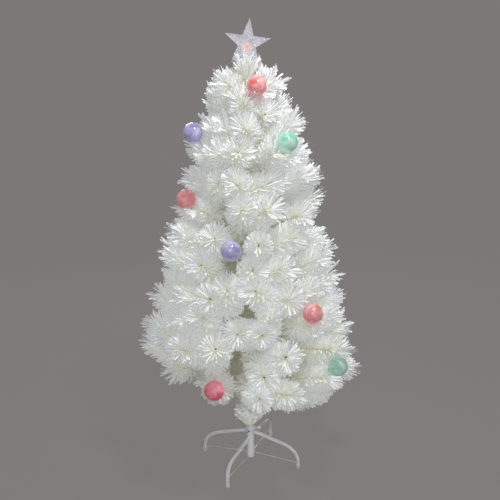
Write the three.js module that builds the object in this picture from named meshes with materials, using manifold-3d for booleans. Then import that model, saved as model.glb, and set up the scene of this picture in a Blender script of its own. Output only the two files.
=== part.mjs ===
import * as THREE from "three";
import { mergeVertices } from "three/addons/utils/BufferGeometryUtils.js";
import Module from "manifold-3d";

// White artificial christmas tree: a wrapped trunk in two lengths with light fibres inside, thirteen
// tiers of needle branches, hollow balls on the branch tips, a clear star and a folding steel stand.
// Millimetres, +Z up, origin on the floor under the trunk, and the front faces -Y.

const wasm = await Module();
wasm.setup();

// Whole tree
const treeHeight = 1200; // floor to the star's top point
const treeWidth = 620; // across the widest branch tips
const fitGap = 0.3; // between pieces that touch or slide
const cutOverrun = 2; // how far every cutting solid runs past what it cuts
const roundSides = 16;
const rodSides = 8;

// Stand tube and its end plug
const tubeDiameter = 22;
const tubeWall = 1.5;
const tubeTop = 108;
const tubeBottom = 12.8;
const tubePlugFlange = 2;
const tubePlugDepth = 11;

// Legs: one pair welded to the tube, one pair on a ring that turns round it
const legDiameter = 10;
const fixedPair = { reach: 147, rootHeight: 73, fallAngle: 5, bendLength: 40, bendDepth: 34 };
const turningPair = { reach: 141.5, rootHeight: 91.5, fallAngle: 15, bendLength: 52, bendDepth: 38 };
const fixedLegBearing = -24.8; // degrees from the front, towards +X
const openAngle = 94.8; // degrees from the welded pair to the turning pair
const legSteps = 12;
const ringWall = 1.5;
const legRingHeight = 10.8;
const footCapHeight = 12;
const footCapWall = 1.2;
const footCapFloor = 2;

// Brace wires under the legs
const braceDiameter = 2.2;
const braceSides = 6;
const fixedBraceRoot = 18.4;
const fixedBraceEnd = 25;
const turningBraceRoot = 25.4;
const turningBraceEnd = 17.5;
const braceRingHeight = 4;

// Clamp screw through the tube wall
const screwHeight = 101.8;
const screwDiameter = 6;
const screwBearing = 90;
const screwLength = 16;
const screwNut = { across: 9, depth: 4 };
const knobLength = 11;
const knobDiameter = 11.4;
const knobWing = { width: 4, span: 14, length: 9 };

// Trunk poles
const lowerPoleDiameter = 18;
const lowerPoleWall = 1;
const upperPoleWall = 1;
const poleRunningGap = 0.4; // all round the upper pole in the lower one
const poleSeatDepth = 60; // upper pole inside the lower one
const poleStep = 35; // lower pole's rim above its last tier
const polePlugFlange = 2;
const polePlugDepth = 12;

// Lamp in the lower pole
const lampBottom = 168;
const lampHeight = 38;
const lampWall = 1.2;
const lampFloor = 20;
const lampGap = 0.4; // lamp housing to the pole's bore
const boardThickness = 1.6;
const lensHeight = 5;
const ferruleHeight = 14;
const ferruleWall = 1.1;
const fibreBundleDiameter = 9.4;
const fibreBundleDrop = 36; // top of the bundle below the pole's top
const inletRise = 18; // inlet's middle above the lamp's bottom
const inletBearing = 180;
const inletDiameter = 10.4;
const inletFlange = { diameter: 13, depth: 2 };
const inletLength = 13;
const inletSocket = { diameter: 6.8, depth: 9 };

// Branch tiers, lowest first. tilt is degrees above level, turn is degrees from the front, and
// armShares shortens single branches of a tier, counted from turn, where 0 leaves a branch out
const firstTierHeight = 150;
const lastTierDrop = 61; // last tier below the pole's top
const collarHeight = 20;
const collarWall = 3.4;
const collarSides = 8;
const stemDiameter = 4;
const brushShare = 0.42; // needle brush radius as a share of the clear height between tiers
const brushLength = 88;
const brushSides = 5;
const bluntShare = 0.3; // share of the brush length that the end cone takes
const forkShare = 0.52; // where side twigs leave their branch
const twigReachShare = 0.95;
const tiers = [
  { arms: 6, tips: 2, tilt: 27, reachShare: 0.74, turn: 50, armShares: [1, 1, 1, 1, 0, 0] },
  { arms: 8, tips: 2, tilt: 22.4, reachShare: 0.97, turn: 2, armShares: [1, 1, 1, 1, 1, 1, 1, 0.78] },
  { arms: 7, tips: 2, tilt: 24.8, reachShare: 0.88, turn: 8 },
  { arms: 7, tips: 3, tilt: 27.2, reachShare: 0.82, turn: 5 },
  { arms: 6, tips: 3, tilt: 29.6, reachShare: 0.75, turn: 29 },
  { arms: 6, tips: 2, tilt: 32, reachShare: 0.69, turn: 0 },
  { arms: 5, tips: 2, tilt: 34.4, reachShare: 0.61, turn: 12 },
  { arms: 5, tips: 2, tilt: 36.8, reachShare: 0.57, turn: -10 },
  { arms: 6, tips: 2, tilt: 39.2, reachShare: 0.51, turn: -7 },
  { arms: 6, tips: 2, tilt: 41.6, reachShare: 0.46, turn: -35 },
  { arms: 9, tips: 1, tilt: 44, reachShare: 0.36, turn: 10 },
  { arms: 7, tips: 1, tilt: 46.4, reachShare: 0.29, turn: -8 },
  { arms: 6, tips: 1, tilt: 48.8, reachShare: 0.23, turn: 16 },
];
const lowerTierCount = 8; // tiers that the lower pole carries

// Needle strands of the crown tier, the leader and the trunk skirt, and the clear light fibres that
// stand out past the needles of the other tiers. A fibre leaves its branch behind the tip
const strandDiameter = 2;
const strandSides = 3;
const strandSink = 1.4; // root of a strand inside its backing
const crownStrand = { length: 26, sweep: 32, rows: 3, ring: 6, pitch: 11 };
const leaderStrand = { length: 56, sweep: 28, rows: 9, ring: 12, pitch: 2.6 };
const skirtStrand = { length: 34, sweep: 64, rows: 5, ring: 17, pitch: 3 };
const fibreStrand = { length: 36, sweep: 17, rows: 1, ring: 2, pitch: 0, behindTip: 22 };
const crownBrushShare = 0.72; // crown brushes are slimmer, so that their strands fit

// Leader on the pole's top
const leaderPlugDepth = 18;
const leaderCoreDiameter = 11;
const leaderCoreHeight = 32;
const leaderTipDiameter = 5;

// Skirt of needles round the trunk above the stand
const skirtBottom = 110.5;
const skirtHeight = 20;
const skirtWall = 2.6;

// Star, its sleeve and its stem wire
const starDiameter = 120;
const starNotchShare = 0.39; // notch radius as a share of the point radius
const starLean = 7; // degrees towards +X
const starSide = 1; // star centre from the trunk axis
const starRise = 94.45; // star centre above the pole's top
const starFace = 1.2;
const starDepth = 4.1;
const starRim = 1.6;
const starCore = { diameter: 25, thickness: 3.6, drop: 8, sides: 14 };
const sleeveDiameter = 4.8;
const sleeveLength = 21;
const sleeveCap = 2.5;
const stemWireDiameter = 2.4;
const stemWireFoot = 10; // stem wire below the pole's top
const stemWireSteps = 24;
const stemBendShare = 0.4; // how softly the wire bends between the leader and the sleeve

// Balls. lift is a share of the tier pitch, turn is degrees from the front
const ballDiameter = 50;
const ballWall = 1.2;
const ballStemDiameter = 4.4;
const ballStemDepth = 4;
const ballSides = 10;
const ballBands = 4;
const ballKeepOff = 1; // bare wire that a branch leaves beside a ball
const balls = [
  { name: "ball_coral_top", tier: 12, turn: 14.5, reachShare: 0.98, liftShare: 0.43, tint: "coral" },
  { name: "ball_mint_top", tier: 10, turn: 45, reachShare: 0.95, liftShare: 0.13, tint: "mint" },
  { name: "ball_lilac_left", tier: 10, turn: -81.7, reachShare: 0.97, liftShare: 0.4, tint: "lilac" },
  { name: "ball_coral_left", tier: 8, turn: -82.8, reachShare: 0.91, liftShare: 0.04, tint: "coral" },
  { name: "ball_lilac_front", tier: 6, turn: -12, reachShare: 0.935, liftShare: 0.6, tint: "lilac" },
  { name: "ball_coral_right", tier: 4, turn: 40.6, reachShare: 0.93, liftShare: 0.32, tint: "coral" },
  { name: "ball_mint_right", tier: 2, turn: 61.2, reachShare: 0.86, liftShare: 0.2, tint: "mint" },
  { name: "ball_pink_front", tier: 2, turn: -22, reachShare: 0.77, liftShare: 0.07, tint: "pink" },
  { name: "ball_coral_back", tier: 3, turn: 132, reachShare: 0.92, liftShare: 0.3, tint: "coral" },
  { name: "ball_mint_back", tier: 5, turn: -140, reachShare: 0.92, liftShare: 0.2, tint: "mint" },
  { name: "ball_lilac_back", tier: 8, turn: 152, reachShare: 0.92, liftShare: 0.1, tint: "lilac" },
  { name: "ball_pink_back", tier: 11, turn: -160, reachShare: 0.95, liftShare: 0.2, tint: "pink" },
];

// Worked out from the sizes above
const degrees = Math.PI / 180;
const tubeRadius = tubeDiameter / 2;
const tubeBore = tubeRadius - tubeWall;
const legRadius = legDiameter / 2;
const ringBore = tubeRadius + fitGap;
const ringRadius = ringBore + ringWall;
const poleRadius = lowerPoleDiameter / 2;
const poleBore = poleRadius - lowerPoleWall;
const upperPoleRadius = poleBore - poleRunningGap;
const upperPoleBore = upperPoleRadius - upperPoleWall;
const inletHeight = lampBottom + inletRise;
const starRadius = starDiameter / 2;
const leanSin = Math.sin(starLean * degrees);
const leanCos = Math.cos(starLean * degrees);
const starCentreHeight = treeHeight - starRadius * leanCos;
const poleTop = starCentreHeight - starRise;
const lastTierHeight = poleTop - lastTierDrop;
const fibreBundleTop = poleTop - fibreBundleDrop;
const tubePlugTop = tubeBottom + tubePlugDepth;
const polePlugBottom = tubePlugTop + fitGap;
const lowerPoleBottom = polePlugBottom + polePlugFlange + fitGap;
const tierPitch = (lastTierHeight - firstTierHeight) / (tiers.length - 1);
const lowerPoleTop = firstTierHeight + tierPitch * (lowerTierCount - 1) + poleStep;
const upperPoleBottom = lowerPoleTop - poleSeatDepth;
const ballRadius = ballDiameter / 2;
const ballClear = ballRadius + fitGap;
const ballNeck = (ballStemDiameter / 2 + fitGap) / Math.cos(Math.PI / ballSides);
const icosahedronInradius = 0.7946; // of an icosahedron whose corners lie at 1
const hollowRadius = ballClear / icosahedronInradius;

const up = new THREE.Vector3(0, 0, 1);
const goldenAngle = 137.5;

// Point at a radius and a bearing from the front, at a height
function polar(radius, bearing, height) {
  const turned = bearing * degrees;
  return new THREE.Vector3(radius * Math.sin(turned), -radius * Math.cos(turned), height);
}

// Closed mesh to solid and back
function solidOf(geometry) {
  const bare = geometry.clone();
  bare.deleteAttribute("normal");
  bare.deleteAttribute("uv");
  const merged = mergeVertices(bare);
  const vertProperties = new Float32Array(merged.attributes.position.array);
  const triVerts = new Uint32Array(merged.index.array);
  return new wasm.Manifold(new wasm.Mesh({ numProp: 3, vertProperties, triVerts }));
}

function geometryOf(solid) {
  const mesh = solid.getMesh();
  const geometry = new THREE.BufferGeometry();
  geometry.setAttribute("position", new THREE.BufferAttribute(new Float32Array(mesh.vertProperties), 3));
  geometry.setIndex(new THREE.BufferAttribute(new Uint32Array(mesh.triVerts), 1));
  geometry.computeVertexNormals();
  return geometry;
}

// Profile of [radius, height] pairs spun about Z
function spun(profile, sides) {
  const points = profile.map(([radius, height]) => new THREE.Vector2(radius, height));
  return new THREE.LatheGeometry(points, sides).rotateX(Math.PI / 2);
}

function rod(radius, bottom, top, sides = roundSides) {
  return spun([[0, bottom], [radius, bottom], [radius, top], [0, top]], sides);
}

function ring(bore, radius, bottom, top, sides = roundSides) {
  return spun([[bore, bottom], [radius, bottom], [radius, top], [bore, top], [bore, bottom]], sides);
}

// Geometry made along +Z, laid from start towards end
function laid(geometry, start, end) {
  const direction = end.clone().sub(start).normalize();
  const turn = new THREE.Quaternion().setFromUnitVectors(up, direction);
  return geometry.applyQuaternion(turn).translate(start.x, start.y, start.z);
}

// Bar of round section along a curve
function bar(curve, radius, sides, steps) {
  const section = new THREE.Shape();
  for (let side = 0; side < sides; side += 1) {
    const angle = (side / sides) * Math.PI * 2;
    const x = radius * Math.cos(angle);
    const y = radius * Math.sin(angle);
    if (side === 0) section.moveTo(x, y);
    else section.lineTo(x, y);
  }
  return new THREE.ExtrudeGeometry(section, { steps, extrudePath: curve, bevelEnabled: false });
}

// Materials
function finish(color, roughness, metalness = 0, opacity = 1) {
  return new THREE.MeshStandardMaterial({
    color, roughness, metalness, opacity, transparent: opacity < 1,
  });
}

const whitePaint = finish(0xc9cbcf, 0.45, 0.1);
const capPlastic = finish(0xb9b7b3, 0.6);
const wireSteel = finish(0xb4b1a6, 0.45, 0.6);
const whitePlastic = finish(0xf0f0ee, 0.4);
const needleFilm = finish(0xe6eaea, 0.55);
const boardGreen = finish(0x2e6b45, 0.6);
const clearPlastic = finish(0xe8edf2, 0.1, 0, 0.4);
const fibrePlastic = finish(0xe9f2f6, 0.2, 0, 0.6);
const blackPlastic = finish(0x1c1c1e, 0.5);
const starPlastic = finish(0xd5d0dc, 0.25, 0, 0.6);
const copperGlow = finish(0xd79a80, 0.35, 0.3);
const ballTints = {
  coral: finish(0xee6f74, 0.12),
  mint: finish(0x7fe0bd, 0.12),
  lilac: finish(0xb7aadc, 0.12),
  pink: finish(0xf0708c, 0.12),
};

function add(group, name, geometry, material) {
  const mesh = new THREE.Mesh(geometry, material);
  mesh.name = name;
  group.add(mesh);
}

// Stand tube, with the hole for the clamp screw, and its plug
function screwHole(radius) {
  const start = polar(0, screwBearing, screwHeight);
  const end = polar(tubeRadius, screwBearing, screwHeight);
  const reach = tubeRadius + screwNut.depth + fitGap + cutOverrun;
  return solidOf(laid(rod(radius, 0, reach, rodSides), start, end));
}

function standTube() {
  const tube = solidOf(ring(tubeBore, tubeRadius, tubeBottom, tubeTop));
  return geometryOf(tube.subtract(screwHole(screwDiameter / 2 + fitGap)));
}

function standTubePlug() {
  const boss = tubeBore - fitGap;
  const seat = tubeBottom - fitGap;
  const foot = seat - tubePlugFlange;
  return spun([[0, foot], [tubeRadius, foot], [tubeRadius, seat], [boss, seat], [boss, tubePlugTop],
    [0, tubePlugTop]], roundSides);
}

// Leg: down a slope from the tube, round a bend and straight down into its foot cap
function legCurve(pair, bearing) {
  const fall = Math.tan(pair.fallAngle * degrees);
  const corner = pair.rootHeight - fall * (pair.reach - tubeRadius);
  const bendStart = pair.reach - pair.bendLength;
  const curve = new THREE.CurvePath();
  const root = polar(0, bearing, pair.rootHeight + fall * tubeRadius);
  const slopeEnd = polar(bendStart, bearing, corner + fall * pair.bendLength);
  const bendEnd = polar(pair.reach, bearing, corner - pair.bendDepth);
  curve.add(new THREE.LineCurve3(root, slopeEnd));
  curve.add(new THREE.QuadraticBezierCurve3(slopeEnd, polar(pair.reach, bearing, corner), bendEnd));
  curve.add(new THREE.LineCurve3(bendEnd, polar(pair.reach, bearing, footCapFloor + fitGap)));
  return curve;
}

function leg(pair, bearing, seatRadius) {
  const whole = solidOf(bar(legCurve(pair, bearing), legRadius, rodSides, legSteps));
  const seat = rod(seatRadius + fitGap, pair.rootHeight - tubeDiameter, pair.rootHeight + tubeDiameter);
  return geometryOf(whole.subtract(solidOf(seat)));
}

function footCap(pair, bearing) {
  const bore = legRadius + fitGap;
  const radius = bore + footCapWall;
  const cup = spun([[0, 0], [radius, 0], [radius, footCapHeight], [bore, footCapHeight],
    [bore, footCapFloor], [0, footCapFloor]], rodSides);
  const place = polar(pair.reach, bearing, 0);
  return cup.rotateZ(bearing * degrees).translate(place.x, place.y, 0);
}

function brace(pair, bearing, seatRadius, rootHeight, endHeight) {
  const start = polar(seatRadius + fitGap, bearing, rootHeight);
  const end = polar(pair.reach - legRadius - fitGap, bearing, endHeight);
  return laid(rod(braceDiameter / 2, 0, start.distanceTo(end), braceSides), start, end);
}

// Clamp screw: nut on the tube, shank against the trunk, knob on the shank
function clampNut() {
  const across = screwNut.across;
  const middle = tubeRadius + screwNut.depth / 2;
  const block = new THREE.BoxGeometry(tubeRadius + screwNut.depth, across, across);
  block.translate((tubeRadius + screwNut.depth) / 2, 0, screwHeight);
  block.rotateZ((screwBearing - 90) * degrees);
  const low = screwHeight - middle;
  const high = screwHeight + middle;
  return geometryOf(solidOf(block)
    .subtract(solidOf(rod(tubeRadius + fitGap, low, high)))
    .subtract(screwHole(screwDiameter / 2 + fitGap)));
}

const shankStart = polar(poleRadius + fitGap, screwBearing, screwHeight);
const knobStart = polar(poleRadius + fitGap + screwLength - knobLength / 2, screwBearing, screwHeight);
const screwOut = polar(treeWidth, screwBearing, screwHeight);

function clampShank() {
  return laid(rod(screwDiameter / 2, 0, screwLength, rodSides), shankStart, screwOut);
}

function clampKnob() {
  const half = knobDiameter / 2;
  const body = solidOf(rod(half, 0, knobLength, rodSides));
  const wing = new THREE.BoxGeometry(knobWing.span, knobWing.width, knobWing.length);
  wing.translate(0, 0, knobLength - knobWing.length / 2);
  const bore = rod(screwDiameter / 2 + fitGap, -cutOverrun, knobLength / 2 + fitGap, rodSides);
  return laid(geometryOf(body.add(solidOf(wing)).subtract(solidOf(bore))), knobStart, screwOut);
}

// Trunk poles, the plug at the foot and the light inside
function polePlug() {
  const seat = polePlugBottom + polePlugFlange;
  const boss = poleBore - fitGap;
  return spun([[0, polePlugBottom], [poleRadius, polePlugBottom], [poleRadius, seat], [boss, seat],
    [boss, seat + polePlugDepth], [0, seat + polePlugDepth]], roundSides);
}

function inletRod(radius, from, to) {
  const start = polar(from, inletBearing, inletHeight);
  return laid(rod(radius, 0, to - from, rodSides), start, polar(treeWidth, inletBearing, inletHeight));
}

function lowerPole() {
  const pole = solidOf(ring(poleBore, poleRadius, lowerPoleBottom, lowerPoleTop));
  const inletHole = inletRod(inletDiameter / 2 + fitGap, 0, poleRadius + cutOverrun);
  return geometryOf(pole.subtract(solidOf(inletHole)));
}

const lampRadius = poleBore - lampGap;
const lampBore = lampRadius - lampWall;
const boardSeat = lampBottom + lampFloor + fitGap;
const lensSeat = boardSeat + boardThickness + fitGap;
const ferruleSeat = lensSeat + lensHeight + fitGap;

function lampHousing() {
  const floor = lampBottom + lampFloor;
  const top = lampBottom + lampHeight;
  const cup = spun([[0, lampBottom], [lampRadius, lampBottom], [lampRadius, top], [lampBore, top],
    [lampBore, floor], [0, floor]], roundSides);
  return cup;
}

function lightLens() {
  const radius = lampBore - fitGap;
  const top = lensSeat + lensHeight;
  return spun([[0, lensSeat], [radius, lensSeat], [radius, lensSeat + lensHeight / 4],
    [radius * Math.SQRT1_2, top - lensHeight / 4], [0, top]], roundSides);
}

function powerInlet() {
  const face = poleRadius + inletLength;
  const body = inletRod(inletDiameter / 2, lampRadius + fitGap, face);
  const flange = inletRod(inletFlange.diameter / 2, face - inletFlange.depth, face);
  const socket = inletRod(inletSocket.diameter / 2, face - inletSocket.depth, face + cutOverrun);
  return geometryOf(solidOf(body).add(solidOf(flange)).subtract(solidOf(socket)));
}

// Tier geometry: a branch of tier k runs on a cone through the trunk
function tierRadius(index) {
  return index < lowerTierCount ? poleRadius : upperPoleRadius;
}

function collarBore(index) {
  return (tierRadius(index) + fitGap) / Math.cos(Math.PI / collarSides);
}

function tierHeight(index) {
  return firstTierHeight + tierPitch * index;
}

function tierReach(index) {
  return (treeWidth / 2) * tiers[index].reachShare;
}

function onTier(index, radius, bearing, lift = 0) {
  return polar(radius, bearing, tierHeight(index) + radius * Math.tan(tiers[index].tilt * degrees) + lift);
}

function branchRoot(index, bearing) {
  return polar(collarBore(index) + collarWall / 2, bearing, tierHeight(index));
}

function brushRadius(index) {
  return brushShare * tierPitch * Math.cos(tiers[index].tilt * degrees);
}

// Ball centres, and the point of a branch that each ball's stem leaves
function armsOf(index) {
  const { arms, turn, armShares = [] } = tiers[index];
  const all = Array.from({ length: arms }, (_, arm) => (
    { bearing: turn + (arm * 360) / arms, share: armShares[arm] ?? 1 }));
  return all.filter(({ share }) => share > 0);
}

function apart(first, second) {
  return Math.abs(((first - second + 540) % 360) - 180);
}

const ballPlaces = balls.map((ball) => {
  const index = ball.tier - 1;
  const reach = tierReach(index);
  const centre = onTier(index, reach * ball.reachShare, ball.turn, ball.liftShare * tierPitch);
  const fromBall = (arm) => apart(arm.bearing, ball.turn);
  const near = armsOf(index).sort((first, second) => fromBall(first) - fromBall(second))[0];
  const stemStart = onTier(index, reach * near.share * forkShare, near.bearing);
  return { ...ball, index, centre, stemStart };
});

// A branch that would run into a ball ends just before it
function clearEnd(start, end) {
  const direction = end.clone().sub(start);
  const whole = direction.length();
  direction.normalize();
  const keepOff = hollowRadius + stemDiameter / 2 + ballKeepOff;
  let length = whole;
  for (const { centre } of ballPlaces) {
    const along = centre.clone().sub(start).dot(direction);
    const beside = centre.distanceTo(start.clone().addScaledVector(direction, along));
    if (along > 0 && beside < keepOff) {
      length = Math.min(length, along - Math.sqrt(keepOff * keepOff - beside * beside));
    }
  }
  return start.clone().addScaledVector(direction, length);
}

// Needle brush: swells from its stem to the needles' radius and ends in a blunt cone
function brush(start, end, radius, length) {
  const reach = start.distanceTo(end);
  const body = Math.min(length, reach);
  const stem = stemDiameter / 2;
  return solidOf(laid(spun([[0, 0], [stem, 0], [radius, reach - body * bluntShare], [0, reach]],
    brushSides), start, end));
}

function strand(start, end) {
  const length = start.distanceTo(end);
  const needle = spun([[0, 0], [strandDiameter / 2, 0], [0, length]], strandSides);
  return solidOf(laid(needle, start, end));
}

// Rows of needles round a line from start to end, swept forwards by the sweep angle.
// keep says which needles stand clear of their neighbours, and turn where a row starts, in degrees
function strandRows(start, end, radiusAt, rows, keep = () => true, turn = 0) {
  const axis = end.clone().sub(start).normalize();
  const tilt = new THREE.Quaternion().setFromUnitVectors(up, axis);
  const needles = [];
  for (let row = 0; row < rows.rows; row += 1) {
    const along = row * rows.pitch;
    for (let spoke = 0; spoke < rows.ring; spoke += 1) {
      const angle = ((spoke + (row % 2) / 2) / rows.ring) * Math.PI * 2 + turn * degrees;
      const out = new THREE.Vector3(Math.cos(angle), Math.sin(angle), 0).applyQuaternion(tilt);
      const root = end.clone()
        .addScaledVector(axis, -along)
        .addScaledVector(out, radiusAt(along) - strandSink);
      const tip = root.clone()
        .addScaledVector(axis, rows.length * Math.cos(rows.sweep * degrees))
        .addScaledVector(out, rows.length * Math.sin(rows.sweep * degrees));
      if (keep(root, tip)) needles.push(strand(root, tip));
    }
  }
  return needles;
}

function joined(solids) {
  return solids.reduce((whole, solid) => whole.add(solid));
}

// Tips of one branch, spread evenly round the tier
function tipBearings(index, bearing) {
  const { arms, tips } = tiers[index];
  const gap = 360 / (arms * tips);
  const straight = Math.floor((tips - 1) / 2);
  return Array.from({ length: tips }, (_, tip) => bearing + (tip - straight) * gap);
}

function branchBrushes(index, { bearing, share }, radius) {
  const reach = tierReach(index) * share;
  const root = branchRoot(index, bearing);
  const fork = onTier(index, reach * forkShare, bearing);
  const solids = [];
  for (const tipBearing of tipBearings(index, bearing)) {
    const straight = apart(tipBearing, bearing) === 0;
    const start = straight ? root : fork;
    const end = clearEnd(start, onTier(index, straight ? reach : reach * twigReachShare, tipBearing));
    if (end.distanceTo(start) > radius * 2) {
      solids.push(brush(start, end, radius, brushLength));
      if (index < tiers.length - 1) solids.push(...lightFibres(start, end, tipBearing));
    }
  }
  return solids;
}

function clearOfBalls(from, to) {
  return ballPlaces.every(({ centre }) => {
    const nearest = new THREE.Line3(from, to).closestPointToPoint(centre, true, new THREE.Vector3());
    return nearest.distanceTo(centre) > hollowRadius + strandDiameter;
  });
}

// The golden angle turns each branch's fibres away from those of the next one
function lightFibres(start, end, bearing) {
  const axis = end.clone().sub(start).normalize();
  const base = end.clone().addScaledVector(axis, -fibreStrand.behindTip);
  return strandRows(start, base, () => strandSink, fibreStrand, clearOfBalls, bearing * goldenAngle);
}

function collarOf(index) {
  const bore = collarBore(index);
  const middle = tierHeight(index);
  const low = middle - collarHeight / 2;
  return solidOf(ring(bore, bore + collarWall, low, low + collarHeight, collarSides));
}

// A tier: collar, branches and ball stems, cut clear of the balls
function tier(index) {
  const isCrown = index === tiers.length - 1;
  const radius = brushRadius(index) * (isCrown ? crownBrushShare : 1);
  const solids = [collarOf(index)];
  for (const arm of armsOf(index)) {
    solids.push(...branchBrushes(index, arm, radius));
    if (isCrown) solids.push(...crownStrands(index, arm.bearing, radius));
  }
  for (const ball of ballPlaces.filter((place) => place.index === index)) {
    const inwards = ball.stemStart.clone().sub(ball.centre).normalize();
    const stemEnd = ball.centre.clone().addScaledVector(inwards, ballRadius - ballStemDepth);
    solids.push(solidOf(laid(rod(ballStemDiameter / 2, 0, ball.stemStart.distanceTo(stemEnd), brushSides),
      ball.stemStart, stemEnd)));
  }
  let whole = joined(solids);
  for (const ball of ballPlaces) {
    whole = whole.subtract(ballHollow(ball, index));
  }
  return geometryOf(whole);
}

function crownStrands(index, bearing, radius) {
  const root = branchRoot(index, bearing);
  const end = clearEnd(root, onTier(index, tierReach(index), bearing));
  const reach = root.distanceTo(end);
  const body = Math.min(brushLength, reach);
  const widest = end.clone().lerp(root, (body * bluntShare) / reach);
  const slope = (radius - stemDiameter / 2) / (reach - body * bluntShare);
  const flat = Math.cos(Math.PI / brushSides);
  return strandRows(root, widest, (along) => (radius - slope * along) * flat, crownStrand, clearOfBalls);
}

// Space that a ball needs: its sphere, less the stem that its own tier runs into it
function ballHollow(ball, index) {
  const { x, y, z } = ball.centre;
  const hollow = solidOf(new THREE.IcosahedronGeometry(hollowRadius, 0).translate(x, y, z));
  if (ball.index !== index) return hollow;
  const inwards = ball.stemStart.clone().sub(ball.centre).normalize();
  const outside = ball.centre.clone().addScaledVector(inwards, ballDiameter);
  const end = ball.centre.clone().addScaledVector(inwards, ballRadius - ballStemDepth);
  const stem = rod(ballStemDiameter / 2, 0, end.distanceTo(outside), brushSides);
  return hollow.subtract(solidOf(laid(stem, end, outside)));
}

// Hollow ball with a neck hole towards its branch
function ballShell(ball) {
  const inner = ballRadius - ballWall;
  const profile = [];
  const outerEnd = Math.acos(ballNeck / ballRadius);
  const innerEnd = Math.acos(ballNeck / inner);
  for (let band = 0; band <= ballBands; band += 1) {
    const angle = -Math.PI / 2 + ((outerEnd + Math.PI / 2) * band) / ballBands;
    profile.push([band === 0 ? 0 : ballRadius * Math.cos(angle), ballRadius * Math.sin(angle)]);
  }
  for (let band = ballBands; band >= 0; band -= 1) {
    const angle = -Math.PI / 2 + ((innerEnd + Math.PI / 2) * band) / ballBands;
    profile.push([band === 0 ? 0 : inner * Math.cos(angle), inner * Math.sin(angle)]);
  }
  return laid(spun(profile, ballSides), ball.centre, ball.stemStart);
}

// Skirt of needles round the foot of the trunk
function trunkSkirt() {
  const bore = poleRadius + fitGap;
  const radius = bore + skirtWall;
  const top = skirtBottom + skirtHeight;
  const sleeve = solidOf(ring(bore, radius, skirtBottom, top));
  const rowsTop = skirtBottom + skirtStrand.pitch * skirtStrand.rows;
  const start = new THREE.Vector3(0, 0, skirtBottom);
  const end = new THREE.Vector3(0, 0, rowsTop);
  return geometryOf(joined([sleeve, ...strandRows(start, end, () => radius, skirtStrand)]));
}

// Star frame: the centre, and the star's own up direction
const starCentre = new THREE.Vector3(starSide, 0, starCentreHeight);
const starHalf = starDepth + fitGap / 2;
const sleeveTop = -starCore.drop - starCore.diameter / 2 - fitGap; // along the star from its centre
const sleeveFoot = sleeveTop - sleeveLength;

function starPoint(sideways, upwards) {
  return new THREE.Vector3(
    starCentre.x + sideways * leanCos + upwards * leanSin,
    0,
    starCentre.z - sideways * leanSin + upwards * leanCos,
  );
}

// Leader: plug in the pole's top, core with a bore for the stem wire, and needles
function leaderSprig() {
  const bore = stemWireDiameter / 2 + fitGap;
  const plug = upperPoleBore - fitGap;
  const seat = poleTop + fitGap;
  const coreTop = poleTop + leaderCoreHeight;
  const core = solidOf(spun([[bore, poleTop - leaderPlugDepth], [plug, poleTop - leaderPlugDepth],
    [plug, seat], [upperPoleRadius, seat], [leaderCoreDiameter / 2, seat + fitGap],
    [leaderTipDiameter / 2, coreTop], [bore, coreTop], [bore, poleTop - leaderPlugDepth]], roundSides));
  const top = new THREE.Vector3(0, 0, coreTop - leaderStrand.pitch);
  const taper = (leaderCoreDiameter - leaderTipDiameter) / 2 / leaderCoreHeight;
  const radiusAt = (along) => leaderTipDiameter / 2 + (along + leaderStrand.pitch) * taper;
  const lowest = starPoint(0, -starRadius).z - leaderCoreDiameter;
  const clearOfStar = (root, tip) => {
    const from = root.clone().lerp(tip, THREE.MathUtils.clamp((lowest - root.z) / (tip.z - root.z), 0, 1));
    return Math.min(Math.abs(from.y), Math.abs(tip.y)) > starHalf + strandDiameter;
  };
  const start = new THREE.Vector3(0, 0, poleTop);
  return geometryOf(joined([core, ...strandRows(start, top, radiusAt, leaderStrand, clearOfStar)]));
}

function starStem() {
  const steady = new THREE.Vector3(0, 0, poleTop + leaderCoreHeight);
  const entry = starPoint(0, sleeveFoot - fitGap);
  const bend = steady.distanceTo(entry) * stemBendShare;
  const curve = new THREE.CurvePath();
  curve.add(new THREE.LineCurve3(new THREE.Vector3(0, 0, poleTop - stemWireFoot), steady));
  curve.add(new THREE.CubicBezierCurve3(steady, steady.clone().addScaledVector(up, bend),
    starPoint(0, sleeveFoot - fitGap - bend), entry));
  curve.add(new THREE.LineCurve3(entry, starPoint(0, sleeveTop - sleeveCap - fitGap)));
  return bar(curve, stemWireDiameter / 2, braceSides, stemWireSteps);
}

function placedOnStar(geometry) {
  return geometry.rotateY(starLean * degrees).translate(starCentre.x, 0, starCentre.z);
}

function starOutline(radius) {
  const shape = new THREE.Shape();
  for (let corner = 0; corner < 10; corner += 1) {
    const reach = corner % 2 === 0 ? radius : radius * starNotchShare;
    const angle = (corner * Math.PI) / 5;
    const x = reach * Math.sin(angle);
    const y = reach * Math.cos(angle);
    if (corner === 0) shape.moveTo(x, y);
    else shape.lineTo(x, y);
  }
  shape.closePath();
  return shape;
}

// Star half: a tray with its open side on the middle plane, front is -1 and back is +1
function starHalfShell(side) {
  const rimShrink = starRim / Math.sin(Math.atan2(starNotchShare * Math.sin(Math.PI / 5),
    1 - starNotchShare * Math.cos(Math.PI / 5)));
  const plain = { depth: starDepth, bevelEnabled: false };
  const plate = new THREE.ExtrudeGeometry(starOutline(starRadius), plain);
  const pocket = new THREE.ExtrudeGeometry(starOutline(starRadius - rimShrink), plain);
  pocket.translate(0, 0, -starFace);
  const slot = spun([[0, -starRadius], [sleeveDiameter / 2 + fitGap, -starRadius],
    [sleeveDiameter / 2 + fitGap, 0], [0, 0]], rodSides);
  const stand = (geometry) => {
    geometry.rotateX(Math.PI / 2);
    geometry.translate(0, -fitGap / 2, 0);
    if (side > 0) geometry.rotateZ(Math.PI);
    return geometry;
  };
  const tray = solidOf(stand(plate)).subtract(solidOf(stand(pocket))).subtract(solidOf(slot));
  return placedOnStar(geometryOf(tray));
}

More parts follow.
